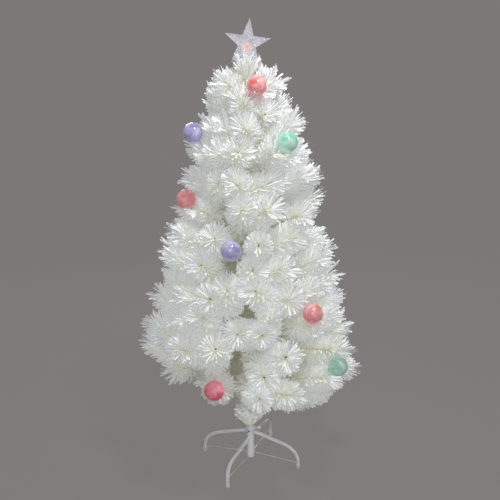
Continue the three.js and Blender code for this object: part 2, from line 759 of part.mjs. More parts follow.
function starCoreDisc() {
  const radius = starCore.diameter / 2;
  const half = starCore.thickness / 2;
  const disc = spun([[0, -half], [radius, -half / 4], [radius, half / 4], [0, half]], starCore.sides);
  return placedOnStar(disc.rotateX(Math.PI / 2).translate(0, 0, -starCore.drop));
}

function starSleeve() {
  const bore = stemWireDiameter / 2 + fitGap;
  const radius = sleeveDiameter / 2;
  const boreEnd = sleeveTop - sleeveCap;
  return placedOnStar(spun([[bore, sleeveFoot], [radius, sleeveFoot], [radius, sleeveTop], [0, sleeveTop],
    [0, boreEnd], [bore, boreEnd], [bore, sleeveFoot]], rodSides));
}

// Assembly
const tree = new THREE.Group();
const stand = new THREE.Group();
const turningLegs = new THREE.Group();
const trunk = new THREE.Group();
const topper = new THREE.Group();
tree.add(stand, turningLegs, trunk, topper);

add(stand, "stand_tube", standTube(), whitePaint);
add(stand, "stand_tube_plug", standTubePlug(), capPlastic);
const fixedSides = [["front", fixedLegBearing], ["back", fixedLegBearing + 180]];
for (const [side, bearing] of fixedSides) {
  add(stand, `${side}_leg`, leg(fixedPair, bearing, tubeRadius), whitePaint);
  add(stand, `${side}_foot_cap`, footCap(fixedPair, bearing), capPlastic);
  add(stand, `${side}_brace`,
    brace(fixedPair, bearing, tubeRadius, fixedBraceRoot, fixedBraceEnd), wireSteel);
}
const turningSides = [["right", fixedLegBearing + openAngle], ["left", fixedLegBearing + openAngle + 180]];
for (const [side, bearing] of turningSides) {
  add(turningLegs, `${side}_leg`, leg(turningPair, bearing, ringRadius), whitePaint);
  add(turningLegs, `${side}_foot_cap`, footCap(turningPair, bearing), capPlastic);
  add(turningLegs, `${side}_brace`,
    brace(turningPair, bearing, ringRadius, turningBraceRoot, turningBraceEnd), wireSteel);
}
const legRingBottom = turningPair.rootHeight - legRingHeight / 2;
add(turningLegs, "leg_ring",
  ring(ringBore, ringRadius, legRingBottom, legRingBottom + legRingHeight), whitePaint);
const braceRingBottom = turningBraceRoot - braceRingHeight / 2;
add(turningLegs, "brace_ring",
  ring(ringBore, ringRadius, braceRingBottom, braceRingBottom + braceRingHeight), whitePaint);
add(stand, "clamp_nut", clampNut(), whitePaint);
add(stand, "clamp_screw_shank", clampShank(), wireSteel);
add(stand, "clamp_screw_knob", clampKnob(), whitePlastic);

add(trunk, "pole_end_plug", polePlug(), whitePlastic);
add(trunk, "lower_pole", lowerPole(), whitePaint);
add(trunk, "upper_pole", ring(upperPoleBore, upperPoleRadius, upperPoleBottom, poleTop), whitePaint);
add(trunk, "lamp_housing", lampHousing(), blackPlastic);
add(trunk, "led_board", rod(lampBore - fitGap, boardSeat, boardSeat + boardThickness), boardGreen);
add(trunk, "light_lens", lightLens(), clearPlastic);
const ferruleRadius = lampBore - fitGap;
add(trunk, "fibre_ferrule",
  ring(ferruleRadius - ferruleWall, ferruleRadius, ferruleSeat, ferruleSeat + ferruleHeight), blackPlastic);
add(trunk, "fibre_bundle", rod(fibreBundleDiameter / 2, ferruleSeat, fibreBundleTop), fibrePlastic);
add(trunk, "power_inlet", powerInlet(), blackPlastic);
add(trunk, "trunk_skirt", trunkSkirt(), needleFilm);
for (let index = 0; index < tiers.length; index += 1) {
  const number = String(index + 1).padStart(2, "0");
  add(trunk, `branch_tier_${number}`, tier(index), needleFilm);
}
for (const ball of ballPlaces) add(trunk, ball.name, ballShell(ball), ballTints[ball.tint]);

add(topper, "leader_sprig", leaderSprig(), needleFilm);
add(topper, "star_stem", starStem(), wireSteel);
add(topper, "star_sleeve", starSleeve(), whitePlastic);
add(topper, "star_core", starCoreDisc(), copperGlow);
add(topper, "star_front", starHalfShell(-1), starPlastic);
add(topper, "star_back", starHalfShell(1), starPlastic);

export default tree;
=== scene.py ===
import math
import random

import bmesh
import bpy
import numpy as np
from mathutils import Matrix, Vector


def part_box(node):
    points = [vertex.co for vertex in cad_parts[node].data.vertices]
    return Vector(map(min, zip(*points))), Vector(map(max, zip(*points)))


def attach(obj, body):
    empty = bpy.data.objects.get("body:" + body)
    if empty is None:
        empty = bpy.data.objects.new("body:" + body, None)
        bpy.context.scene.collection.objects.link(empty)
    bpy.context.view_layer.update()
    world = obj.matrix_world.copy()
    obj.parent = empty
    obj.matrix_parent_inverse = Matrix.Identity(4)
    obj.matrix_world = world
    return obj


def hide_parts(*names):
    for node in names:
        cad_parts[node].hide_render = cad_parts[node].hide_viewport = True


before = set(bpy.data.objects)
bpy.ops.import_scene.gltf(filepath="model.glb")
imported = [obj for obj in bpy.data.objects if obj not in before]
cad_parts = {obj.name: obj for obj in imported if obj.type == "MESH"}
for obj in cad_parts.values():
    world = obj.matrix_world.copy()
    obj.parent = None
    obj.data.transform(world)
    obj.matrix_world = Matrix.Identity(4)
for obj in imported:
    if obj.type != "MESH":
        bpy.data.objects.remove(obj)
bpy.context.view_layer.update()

print("stage: frame loaded")


# Places on the tree, in metres, the front faces -Y

tree = {
    "width": 0.62,  # across the widest branch tips
    "firstTier": 0.150,
    "lastTierDrop": 0.061,  # below the top of the pole
    "forkShare": 0.52,  # where side twigs leave an arm
    "twigReachShare": 0.95,
    "lowerTiers": 8,
    "fitGap": 0.0003,
}
# arms, tips on an arm, tilt in degrees above level, reach as a share, turn in degrees from the front,
# and shares of single arms, counted from turn, where 0 leaves an arm out
tierRows = [
    (6, 2, 27.0, 0.74, 50, [1, 1, 1, 1, 0, 0]),
    (8, 2, 22.4, 0.97, 2, [1, 1, 1, 1, 1, 1, 1, 0.78]),
    (7, 2, 24.8, 0.88, 8),
    (7, 3, 27.2, 0.82, 5),
    (6, 3, 29.6, 0.75, 29),
    (6, 2, 32.0, 0.69, 0),
    (5, 2, 34.4, 0.61, 12),
    (5, 2, 36.8, 0.57, -10),
    (6, 2, 39.2, 0.51, -7),
    (6, 2, 41.6, 0.46, -35),
    (9, 1, 44.0, 0.36, 10),
    (7, 1, 46.4, 0.29, -8),
    (6, 1, 48.8, 0.23, 16),
]
tiers = [dict(zip(("arms", "tips", "tilt", "reach", "turn", "shares"), row)) for row in tierRows]
# tier and bearing of tips that are bent by hand: outward, upward and aside, in millimetres
bends = {
    (1, 50): (18, 33, 0), (1, 80): (-12, -20, 0), (1, -100): (-62, 42, 0),
    (2, 2): (0, -4, 12), (2, -20): (-10, 6, 0), (2, -43): (-46, 66, 6), (2, -66): (-68, 62, 0),
    (2, -88): (-20, 30, 0), (2, 47): (-12, 2, 0), (2, 70): (4, 14, 0), (2, 92): (-16, -52, 0),
    (2, 114): (-56, 44, 0), (3, 8): (4, -34, 0),
    (3, -18): (0, 29, 2), (3, 34): (0, 10, -36), (3, -43): (-6, 8, 0), (3, 85): (2, 16, 0),
    (3, -95): (4, 0, 0), (4, -29): (0, 28, 2), (4, 5): (0, -8, 10), (4, 22): (0, 33, -24),
    (4, -12): (-22, -14, 0), (5, -31): (0, 0, 14), (5, -11): (0, 26, -4), (5, 9): (0, 26, -26),
    (5, 89): (0, 4, 0), (6, 60): (4, 0, 0), (6, 90): (4, 6, 0), (6, 0): (-26, -6, 10),
    (6, -90): (14, 6, 0), (6, -60): (14, 8, 0), (7, 12): (0, -8, -10), (7, 84): (2, -26, 0),
    (7, -60): (14, -4, 0), (7, -96): (18, -10, 0), (8, -10): (0, 4, 10), (8, 62): (0, -24, -12),
    (8, 98): (8, 4, 0), (9, -7): (4, -2, -10), (9, 83): (18, 0, 0), (9, 53): (10, 4, 0),
    (9, 113): (12, 0, 0), (10, 85): (-8, -14, 0), (10, -5): (0, 8, 0), (11, 10): (6, 10, -22),
    (12, -8): (4, 18, 0), (12, -59): (4, 26, 0), (13, -44): (14, 0, 0), (13, 76): (4, 2, 0),
}
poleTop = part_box("upper_pole")[1].z
tierPitch = (poleTop - tree["lastTierDrop"] - tree["firstTier"]) / (len(tiers) - 1)
upward = Vector((0, 0, 1))


def polar(radius, bearing, height):
    turned = math.radians(bearing)
    return Vector((radius * math.sin(turned), -radius * math.cos(turned), height))


def tierHeight(index):
    return tree["firstTier"] + tierPitch * index


def tierReach(index):
    return tree["width"] / 2 * tiers[index]["reach"]


def sectionOf(index):  # the trunk comes apart above the lower tiers
    return "lower" if index < tree["lowerTiers"] else "upper"


def onTier(index, radius, bearing, lift=0.0):
    rise = radius * math.tan(math.radians(tiers[index]["tilt"]))
    return polar(radius, bearing, tierHeight(index) + rise + lift)


def armsOf(index):  # bearing and share of each arm of a tier
    arms, turn = tiers[index]["arms"], tiers[index]["turn"]
    shares = tiers[index].get("shares", [1] * arms)
    return [(turn + arm * 360 / arms, share) for arm, share in enumerate(shares) if share]


def aimed(start, end, roll=0.0):  # lays what stands along +Z from start towards end
    turn = upward.rotation_difference(end - start).to_matrix().to_4x4()
    return Matrix.Translation(start) @ turn @ Matrix.Rotation(roll, 4, "Z")


def apart(first, second):
    return abs((first - second + 540) % 360 - 180)


# name that starts with the colour, tier, turn, share of the tier's reach, lift as a share of the pitch
ballRows = [
    ("coral_top", 12, 14.5, 0.98, 0.43),
    ("mint_top", 10, 45, 0.95, 0.13),
    ("lilac_left", 10, -81.7, 0.97, 0.4),
    ("coral_left", 8, -82.8, 0.91, 0.04),
    ("lilac_front", 6, -12, 0.935, 0.6),
    ("coral_right", 4, 40.6, 0.93, 0.32),
    ("mint_right", 2, 61.2, 0.86, 0.2),
    ("pink_front", 2, -22, 0.77, 0.07),
    ("coral_back", 3, 132, 0.92, 0.3),
    ("mint_back", 5, -140, 0.92, 0.2),
    ("lilac_back", 8, 152, 0.92, 0.1),
    ("pink_back", 11, -160, 0.95, 0.2),
]


def hungBall(name, tier, turn, outShare, liftShare):
    index = tier - 1
    reach = tierReach(index)
    near, share = min(armsOf(index), key=lambda arm: apart(arm[0], turn))
    return {
        "name": name, "tier": tier, "turn": turn, "tint": name.split("_")[0],
        "centre": onTier(index, reach * outShare, turn, liftShare * tierPitch),
        "stem": onTier(index, reach * share * tree["forkShare"], near),
        "body": sectionOf(index) + "_section",
    }


balls = [hungBall(*row) for row in ballRows]


# Shader maths: a wired socket can be added, multiplied and so on


class Wire:
    def __init__(self, shader, socket):
        self.shader = shader
        self.socket = socket

    def sum(self, operation, first, second):
        return self.shader.make("ShaderNodeMath", {"operation": operation}, {0: first, 1: second})

    def __add__(self, other):
        return self.sum("ADD", self, other)

    def __radd__(self, other):
        return self.sum("ADD", other, self)

    def __sub__(self, other):
        return self.sum("SUBTRACT", self, other)

    def __rsub__(self, other):
        return self.sum("SUBTRACT", other, self)

    def __mul__(self, other):
        return self.sum("MULTIPLY", self, other)

    def __rmul__(self, other):
        return self.sum("MULTIPLY", other, self)

    def __gt__(self, other):
        return self.sum("GREATER_THAN", self, other)


class Shader:
    def __init__(self, name):
        self.material = bpy.data.materials.new(name)
        self.material.use_nodes = True
        self.tree = self.material.node_tree
        self.surface = self.tree.nodes["Principled BSDF"]

    def put(self, socket, value):
        if isinstance(value, Wire):
            self.tree.links.new(value.socket, socket)
        else:
            socket.default_value = value

    def make(self, kind, settings, inputs, out=0):
        node = self.tree.nodes.new(kind)
        for name, value in settings.items():
            if name == "stops":
                ramp = node.color_ramp.elements
                ramp.remove(ramp[1])
                ramp[0].position, ramp[0].color = value[0]
                for place, colour in value[1:]:
                    ramp.new(place).color = colour
            else:
                setattr(node, name, value)
        for name, value in inputs.items():
            self.put(node.inputs[name], value)
        return Wire(self, node.outputs[out])

    def place(self):
        return self.make("ShaderNodeTexCoord", {}, {}, "Object")

    def noise(self, scale, detail=3.0, vector=None, out="Fac"):
        inputs = {"Vector": vector or self.place(), "Scale": scale, "Detail": detail}
        return self.make("ShaderNodeTexNoise", {}, inputs, out)

    def cells(self, scale, settings, out):
        inputs = {"Vector": self.place(), "Scale": scale}
        return self.make("ShaderNodeTexVoronoi", settings, inputs, out)

    def ramp(self, value, stops):
        return self.make("ShaderNodeValToRGB", {"stops": stops}, {"Fac": value})

    def spread(self, value, low, high, start=0.0, end=1.0):
        inputs = {"Value": value, "From Min": low, "From Max": high, "To Min": start, "To Max": end}
        return self.make("ShaderNodeMapRange", {}, inputs)

    def uneven(self, scale, detail, low, high):  # noise that runs from low to high
        return self.spread(self.noise(scale, detail), 0.3, 0.7, low, high)

    def mixed(self, first, second, share, how="MIX"):
        settings = {"data_type": "RGBA", "blend_type": how}
        return self.make("ShaderNodeMix", settings, {0: share, 6: first, 7: second}, 2)

    def bump(self, height, strength, distance):
        inputs = {"Height": height, "Strength": strength, "Distance": distance}
        return self.make("ShaderNodeBump", {}, inputs)

    def attribute(self, name, out="Color"):
        return self.make("ShaderNodeAttribute", {"attribute_name": name}, {}, out)

    def parts(self, colour):
        node = self.make("ShaderNodeSeparateColor", {}, {"Color": colour}).socket.node
        return [Wire(self, socket) for socket in node.outputs]

    def finish(self, **inputs):
        for name, value in inputs.items():
            self.put(self.surface.inputs[name.replace("_", " ")], value)
        return self.material


def grey(level):
    return (level, level, level, 1)


def darker(colour, share):
    return tuple(c * share for c in colour[:3]) + (1,)


# Materials


def powderCoat(name, colour, ring=None):
    coat = Shader(name)
    worn = coat.spread(coat.noise(60, 6), 0.52, 0.75)
    tone = coat.mixed(colour, darker(colour, 0.86), worn)
    if ring:  # a near-black band on the post under the turning ring: painted shadow that shows in the ring's slot
        margin = 0.0004
        height = coat.make("ShaderNodeSeparateXYZ", {}, {"Vector": coat.place()}, "Z")
        slotShadow = (height > ring[0].z + margin) * (1 - (height > ring[1].z - margin))
        tone = coat.mixed(tone, grey(0.05), slotShadow)
    peel = coat.noise(1500, 2) + coat.noise(420, 2) * 0.7
    return coat.finish(
        Base_Color=tone,
        Roughness=coat.uneven(90, 4, 0.38, 0.52),
        Normal=coat.bump(peel, 0.16, 0.0003),
        Specular_IOR_Level=0.45,
    )


def moulded(name, colour, roughness):
    plastic = Shader(name)
    return plastic.finish(
        Base_Color=plastic.mixed(colour, darker(colour, 0.9), plastic.noise(130, 5)),
        Roughness=plastic.uneven(220, 3, roughness - 0.06, roughness + 0.06),
        Normal=plastic.bump(plastic.noise(900, 3), 0.2, 0.0002),
    )


def drawnWire(name, colour, metal):
    wire = Shader(name)
    return wire.finish(
        Base_Color=wire.mixed(colour, darker(colour, 0.72), wire.noise(240, 6)),
        Metallic=metal,
        Roughness=wire.uneven(500, 4, 0.36, 0.56),
        Normal=wire.bump(wire.noise(1800, 2), 0.15, 0.0001),
    )


def slitFilm():
    film = Shader("slit_film")
    along, shade, depth = film.parts(film.attribute("strip"))
    tone = film.ramp(along, [
        (0.0, (0.79, 0.78, 0.62, 1)),
        (0.12, (0.83, 0.83, 0.72, 1)),
        (0.42, (0.865, 0.875, 0.83, 1)),
        (0.75, (0.885, 0.895, 0.885, 1)),
        (1.0, (0.89, 0.91, 0.92, 1)),
    ])
    tone = film.mixed(tone, (0.78, 0.78, 0.67, 1), film.spread(shade, 0.72, 1.0, 0.0, 0.45))
    tone = film.mixed(tone, (0.90, 0.92, 0.94, 1), film.spread(shade, 0.3, 0.0, 0.0, 0.5))
    # darker deeper in the tree, towards the pole: painted shade
    tone = film.mixed(tone, (0.60, 0.59, 0.47, 1), film.spread(depth, 0.2, 1.0, 0.0, 0.55))
    glow = film.mixed(tone, film.attribute("glow"), film.attribute("glow", "Alpha"))
    lit = film.mixed(glow, (0.20, 0.20, 0.14, 1), film.spread(depth, 0.1, 1.0, 0.0, 0.6))
    return film.finish(
        Base_Color=glow,
        # Emission: painted light on the film, for light through and between the strips, dimmed deep in the
        # tree as painted shade
        Emission_Color=lit,
        Emission_Strength=0.13,
        Roughness=film.spread(shade, 0.0, 1.0, 0.42, 0.6),
        Normal=film.bump(film.noise(700, 2), 0.12, 0.0003),
        Specular_IOR_Level=0.3,
    )


def clearStrip():  # like the needles at its root, clear past them, with near-black painted shadow at its root by the wire
    strip = Shader("clear_strip")
    along, shade = strip.parts(strip.attribute("strip"))[:2]
    tone = strip.ramp(along, [
        # near black at the root: painted shadow by the wire
        (0.0, (0.05, 0.05, 0.025, 1)),
        (0.04, (0.08, 0.08, 0.04, 1)),
        (0.06, (0.80, 0.79, 0.66, 1)),
        (0.40, (0.88, 0.89, 0.89, 1)),
        (0.62, (0.84, 0.84, 0.88, 1)),
        (1.0, (0.90, 0.90, 0.94, 1)),
    ])
    return strip.finish(
        Base_Color=tone,
        # Emission: partly the fibres' own light, partly painted light that brightens them
        Emission_Color=tone,
        Emission_Strength=0.13,
        Roughness=strip.spread(shade, 0.0, 1.0, 0.3, 0.45),
        Alpha=strip.spread(along, 0.40, 0.62, 1.0, 0.62) + shade * 0.16,
        Normal=strip.bump(strip.noise(500, 2), 0.15, 0.0003),
    )


ballTints = {
    "coral": {"pale": (0.92, 0.37, 0.40, 1), "deep": (0.89, 0.12, 0.09, 1), "cool": (0.95, 0.66, 0.68, 1)},
    "mint": {"pale": (0.54, 0.82, 0.72, 1), "deep": (0.14, 0.68, 0.42, 1), "cool": (0.74, 0.88, 0.84, 1)},
    "lilac": {"pale": (0.53, 0.49, 0.80, 1), "deep": (0.26, 0.22, 0.50, 1), "cool": (0.74, 0.71, 0.90, 1)},
    "pink": {"pale": (0.95, 0.31, 0.40, 1), "deep": (0.92, 0.06, 0.11, 1), "cool": (0.95, 0.50, 0.62, 1)},
}


def pearlShell(tint):
    colours = ballTints[tint]
    shell = Shader("pearl_" + tint)
    swirl = shell.noise(34, 5, out="Color")
    warped = shell.make("ShaderNodeVectorMath", {"operation": "MULTIPLY_ADD"},
                        {0: swirl, 1: (0.03, 0.03, 0.03), 2: shell.place()})
    patches = shell.spread(shell.noise(38, 2, warped), 0.54, 0.66)
    veils = shell.spread(shell.noise(95, 3, warped), 0.44, 0.58)
    tone = shell.mixed(colours["pale"], colours["cool"], veils * 0.7)
    tone = shell.mixed(tone, colours["deep"], patches * 0.8)
    rim = shell.make("ShaderNodeLayerWeight", {}, {"Blend": 0.30}, "Facing")
    return shell.finish(
        Base_Color=tone,
        Emission_Color=tone,
        Emission_Strength=0.12,
        Roughness=0.05,
        Coat_Weight=1.0,
        Coat_Roughness=0.02,
        Coat_IOR=1.6,
        Alpha=shell.spread(rim, 0.05, 0.9, 0.54, 0.90),
        Normal=shell.bump(shell.noise(170, 3, warped), 0.10, 0.0008),
    )


def glitterPlastic():
    star = Shader("glitter_plastic")
    flake = star.cells(520, {"feature": "F1"}, "Color")
    red, green, blue = star.parts(flake)
    sparkle = star.spread(red, 0.88, 0.94)
    cloud = star.noise(70, 5)
    tone = star.mixed((0.58, 0.56, 0.63, 1), (0.74, 0.72, 0.79, 1), star.spread(cloud, 0.35, 0.65))
    tone = star.mixed(tone, (0.88, 0.87, 0.92, 1), sparkle)
    crinkle = star.cells(150, {"feature": "SMOOTH_F1"}, "Distance") + green * 0.2
    return star.finish(
        Base_Color=tone,
        Metallic=sparkle * 0.3,
        Roughness=star.spread(blue, 0.0, 1.0, 0.22, 0.45),
        Alpha=star.spread(cloud, 0.3, 0.7, 0.40, 0.56) + sparkle * 0.2,
        Normal=star.bump(crinkle, 0.3, 0.0012),
    )


def copperRays():
    rays = Shader("copper_rays")
    along, shade = rays.parts(rays.attribute("strip"))[:2]
    tone = rays.ramp(along, [
        (0.0, (0.60, 0.16, 0.05, 1)),
        (0.5, (0.80, 0.34, 0.16, 1)),
        (1.0, (0.88, 0.54, 0.36, 1)),
    ])
    return rays.finish(
        Base_Color=rays.mixed(tone, (0.86, 0.40, 0.28, 1), shade * 0.5),
        Emission_Color=tone,
        Emission_Strength=0.6,
        Roughness=rays.uneven(400, 3, 0.25, 0.45),
    )


def clearMoulding(name, colour, alpha):
    clear = Shader(name)
    haze = clear.noise(200, 3)
    return clear.finish(
        Base_Color=clear.mixed(colour, grey(0.95), haze),
        Roughness=clear.spread(haze, 0.3, 0.7, 0.06, 0.16),
        Alpha=clear.spread(haze, 0.3, 0.7, alpha, alpha + 0.15),
    )


paint = powderCoat("stand_coat", (0.84, 0.85, 0.88, 1))
# the post's paint carries a painted shadow band under the leg ring
postPaint = powderCoat("post_coat", (0.82, 0.83, 0.86, 1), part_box("leg_ring"))
poleCoat = powderCoat("pole_coat", (0.74, 0.74, 0.72, 1))
capGrey = moulded("cap_grey", (0.82, 0.78, 0.71, 1), 0.58)
braceWire = drawnWire("brace_wire", (0.95, 0.92, 0.80, 1), 0.1)
branchWire = drawnWire("branch_wire", (0.56, 0.55, 0.44, 1), 0.1)
# near-black finish for the painted shadow at the wire ends
endShadowWire = drawnWire("wire_end_shadow", (0.07, 0.07, 0.035, 1), 0.0)
knobWhite = moulded("knob_white", (0.88, 0.88, 0.87, 1), 0.36)
film = slitFilm()
clearFilm = clearStrip()
glitter = glitterPlastic()
copper = copperRays()
black = moulded("lamp_black", (0.012, 0.012, 0.013, 1), 0.5)
boardGreen = moulded("board_green", (0.03, 0.15, 0.06, 1), 0.42)
lensClear = clearMoulding("lens_clear", (0.80, 0.84, 0.88, 1), 0.35)
fibreClear = clearMoulding("fibre_clear", (0.82, 0.88, 0.92, 1), 0.6)
pearls = {tint: pearlShell(tint) for tint in ballTints}
print("stage: materials made")


# Making pieces

mergeDistance = 1e-6


def meshOf(name, bm):
    mesh = bpy.data.meshes.new(name)
    bm.to_mesh(mesh)
    bm.free()
    return mesh


def placePiece(name, mesh, material, body, nodes=(), smooth=35):
    if smooth:
        mesh.shade_smooth()
        mesh.set_sharp_from_angle(angle=math.radians(smooth))
    mesh.materials.append(material)
    piece = bpy.data.objects.new(name, mesh)
    bpy.context.scene.collection.objects.link(piece)
    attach(piece, body)
    if nodes:
        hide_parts(*nodes)


def newPiece(name, bm, material, body, slot, nodes=(), smooth=35):
    placePiece(name, meshOf(name, bm), material, body, nodes, smooth)


def turned(profile, sides, matrix=Matrix(), sweep=360.0):  # profile of radius and height, spun about Z
    bm = bmesh.new()
    points = [bm.verts.new((radius, 0, height)) for radius, height in profile]
    lines = [bm.edges.new(pair) for pair in zip(points, points[1:])]
    whole = sweep == 360.0
    bmesh.ops.spin(bm, geom=points + lines, cent=(0, 0, 0), axis=(0, 0, 1), dvec=(0, 0, 0),
                   angle=math.radians(sweep), steps=sides, use_merge=whole, use_duplicate=False)
    bmesh.ops.remove_doubles(bm, verts=bm.verts, dist=mergeDistance)
    if not whole:
        bmesh.ops.holes_fill(bm, edges=[e for e in bm.edges if e.is_boundary], sides=0)
    bmesh.ops.recalc_face_normals(bm, faces=bm.faces)
    bmesh.ops.transform(bm, matrix=matrix, verts=bm.verts)
    return bm


def rounded(bm, width, segments=2, limit=40, verts=None):  # softens the sharp edges
    chosen = set(verts) if verts else None
    edges = [
        e for e in bm.edges
        if e.is_manifold and e.calc_face_angle() > math.radians(limit)
        and (chosen is None or (e.verts[0] in chosen and e.verts[1] in chosen))
    ]
    bmesh.ops.bevel(bm, geom=edges, offset=width, offset_type="OFFSET", affect="EDGES",
                    segments=segments, profile=0.5, material=-1, clamp_overlap=True)


def vertsIn(geom):
    return [g for g in geom if isinstance(g, bmesh.types.BMVert)]


def grownRow(bm, edges):  # extrudes a row of edges, gives the new row's vertices and edges
    grown = bmesh.ops.extrude_edge_only(bm, edges=edges)["geom"]
    verts = vertsIn(grown)
    fresh = [g for g in grown if isinstance(g, bmesh.types.BMEdge) and all(v in verts for v in g.verts)]
    return verts, fresh


def swept(path, radii, sides, across):  # round bar along a flat curve, across is the curve's normal
    def station(i):
        ahead = (path[min(i + 1, len(path) - 1)] - path[max(i - 1, 0)]).normalized()
        turn = Matrix((across, ahead.cross(across), ahead)).transposed().to_4x4()
        return Matrix.Translation(path[i]) @ turn @ Matrix.Scale(radii[i], 4)

    bm = bmesh.new()
    bmesh.ops.create_circle(bm, cap_ends=True, segments=sides, radius=1, matrix=station(0))
    edges = bm.edges[:]
    for i in range(1, len(path)):
        verts, edges = grownRow(bm, edges)
        bmesh.ops.transform(bm, matrix=station(i) @ station(i - 1).inverted(), verts=verts)
    bmesh.ops.contextual_create(bm, geom=edges)
    bmesh.ops.recalc_face_normals(bm, faces=bm.faces)
    return bm


def rod(bm, start, end, radius, sides, tipRadius=None):
    middle = (end - start).length / 2
    bmesh.ops.create_cone(
        bm, cap_ends=True, segments=sides, radius1=radius, depth=middle * 2,
        radius2=radius if tipRadius is None else tipRadius,
        matrix=aimed(start, end) @ Matrix.Translation((0, 0, middle)))


# Camera, floor and light

lens = {
    "place": (0.0, -1.646, 1.020),
    "pitch": 13.69,  # degrees down
    "yaw": 0.13,
    "roll": -0.5,
    "focal": 640,  # pixels on a 500 pixel frame
    "frame": 500,
    "sensor": 36,
}
cameraData = bpy.data.cameras.new("camera")
cameraData.sensor_width = lens["sensor"]
cameraData.lens = lens["sensor"] * lens["focal"] / lens["frame"]
camera = bpy.data.objects.new("camera", cameraData)
camera.matrix_world = (
    Matrix.Translation(lens["place"])
    @ Matrix.Rotation(math.radians(-lens["yaw"]), 4, "Z")
    @ Matrix.Rotation(math.radians(90 - lens["pitch"]), 4, "X")
    @ Matrix.Rotation(math.radians(lens["roll"]), 4, "Z")
)
bpy.context.scene.collection.objects.link(camera)
bpy.context.scene.camera = camera
bpy.context.scene.view_settings.view_transform = "Standard"

studio = {
    "floor": (0.285, 0.270, 0.266, 1),
    "shown": (0.227, 0.212, 0.209, 1),
    "evenShare": 0.84,
    "size": 9.0,
    "back": 2.6,  # where the floor starts to rise
    "sweep": 1.6,  # radius of the curve between floor and backdrop
    "sweepSteps": 12,
    "height": 4.5,
    "air": (0.98, 0.99, 1.0, 1),
    "airLight": 0.26,
    "target": (0, 0, 0.6),
}
lamps = [
    {"name": "overhead_softbox", "place": (0.34, -0.60, 1.94), "size": 0.22, "power": 14.6},
    {"name": "camera_softbox", "place": (-0.16, -1.95, 1.30), "size": 0.14, "power": 3.2},
    {"name": "back_softbox", "place": (-0.50, 1.90, 1.35), "size": 0.50, "power": 6},
    {"name": "stand_fill", "place": (0.30, -1.25, 0.30), "size": 0.20, "power": 0.085,
     "target": (0, 0, 0.01), "spread": 22},  # a narrow beam on the legs
]


def studioPaper():  # most of its tone is shown as it is, so that floor and backdrop look like one even paper
    paper = Shader("studio_paper")
    tone = paper.mixed(studio["floor"], studio["shown"], paper.noise(1.2, 2) * 0.2)
    paper.finish(Base_Color=tone, Roughness=0.9, Specular_IOR_Level=0.2)
    light = paper.make("ShaderNodeLightPath", {}, {}, "Is Camera Ray").socket.node
    seen = Wire(paper, light.outputs["Is Camera Ray"]) + Wire(paper, light.outputs["Is Glossy Ray"])
    seen = seen + Wire(paper, light.outputs["Is Transmission Ray"])
    even = paper.make("ShaderNodeEmission", {}, {"Color": studio["shown"], "Strength": 1.0})
    mixer = paper.make("ShaderNodeMixShader", {}, {0: seen * studio["evenShare"]}).socket.node
    paper.tree.links.new(paper.surface.outputs["BSDF"], mixer.inputs[1])
    paper.tree.links.new(even.socket, mixer.inputs[2])
    paper.tree.links.new(mixer.outputs[0], paper.tree.nodes["Material Output"].inputs["Surface"])
    return paper.material


def makeStudio():
    half, curve = studio["size"] / 2, studio["sweep"]
    bm = bmesh.new()
    corners = [bm.verts.new((x, -studio["size"], 0)) for x in (-half, half)]
    edges = [bm.edges.new(corners)]
    steps = [(0, studio["back"] + studio["size"], 0)]
    for step in range(studio["sweepSteps"]):
        before, after = (math.radians(90 * (step + n) / studio["sweepSteps"]) for n in (0, 1))
        steps.append((0, curve * (math.sin(after) - math.sin(before)),
                      curve * (math.cos(before) - math.cos(after))))
    steps.append((0, 0, studio["height"]))
    for step in steps:
        verts, edges = grownRow(bm, edges)
        bmesh.ops.translate(bm, vec=step, verts=verts)
    bmesh.ops.recalc_face_normals(bm, faces=bm.faces)
    if bm.faces[:][0].normal.z < 0:
        bmesh.ops.reverse_faces(bm, faces=bm.faces)
    mesh = meshOf("studio_floor", bm)
    mesh.shade_smooth()
    mesh.materials.append(studioPaper())
    floor = bpy.data.objects.new("studio_floor", mesh)
    bpy.context.scene.collection.objects.link(floor)


def hangLamp(lamp):
    data = bpy.data.lights.new(lamp["name"], "AREA")
    data.shape = "DISK"
    data.size = lamp["size"]
    data.energy = lamp["power"]
    data.spread = math.radians(lamp.get("spread", 180))
    place, target = Vector(lamp["place"]), Vector(lamp.get("target", studio["target"]))
    softbox = bpy.data.objects.new(lamp["name"], data)
    softbox.matrix_world = aimed(place, place * 2 - target)  # a lamp shines along its -Z
    bpy.context.scene.collection.objects.link(softbox)


makeStudio()
for lamp in lamps:
    hangLamp(lamp)
world = bpy.data.worlds.new("studio_air")
world.use_nodes = True
world.node_tree.nodes["Background"].inputs["Color"].default_value = studio["air"]
world.node_tree.nodes["Background"].inputs["Strength"].default_value = studio["airLight"]
bpy.context.scene.world = world
print("stage: camera and studio set")


# Stand

standParts = {
    "tubeRadius": 0.011,
    "tubeWall": 0.0015,
    "ringWall": 0.0015,
    "legRadius": 0.005,
    "legFoot": 0.0024,  # where a leg ends in its cap
    "midLeg": 0.06,  # a station on the straight of a leg
    "bendSteps": 16,
    "capWall": 0.0015,
    "capRise": 0.012,
    "capFloor": 0.002,
    "capEdge": 0.0012,
    "plugDepth": 0.010,
    "chamfer": 0.0004,
    "lip": 0.0003,
    "sunk": 0.0004,  # how far wires and nut sink into what carries them
    "weld": 0.0011,  # how far a weld bead stands off the leg
    "bead": [(-0.0006, 0.8), (0.0006, 1.0), (0.0018, 0.7), (0.0034, 0.0)],  # past the seat, weld share
    "braceRadius": 0.0011,
    "solderRadius": 0.0021,
    "solderLength": 0.0022,
    "fixedBearing": -24.8,
    "openAngle": 94.8,
    "sides": 28,
}
fixedPair = {"reach": 0.147, "root": 0.073, "fall": 5, "bendLength": 0.040, "bendDepth": 0.034,
             "braceRoot": 0.0184, "braceEnd": 0.025}
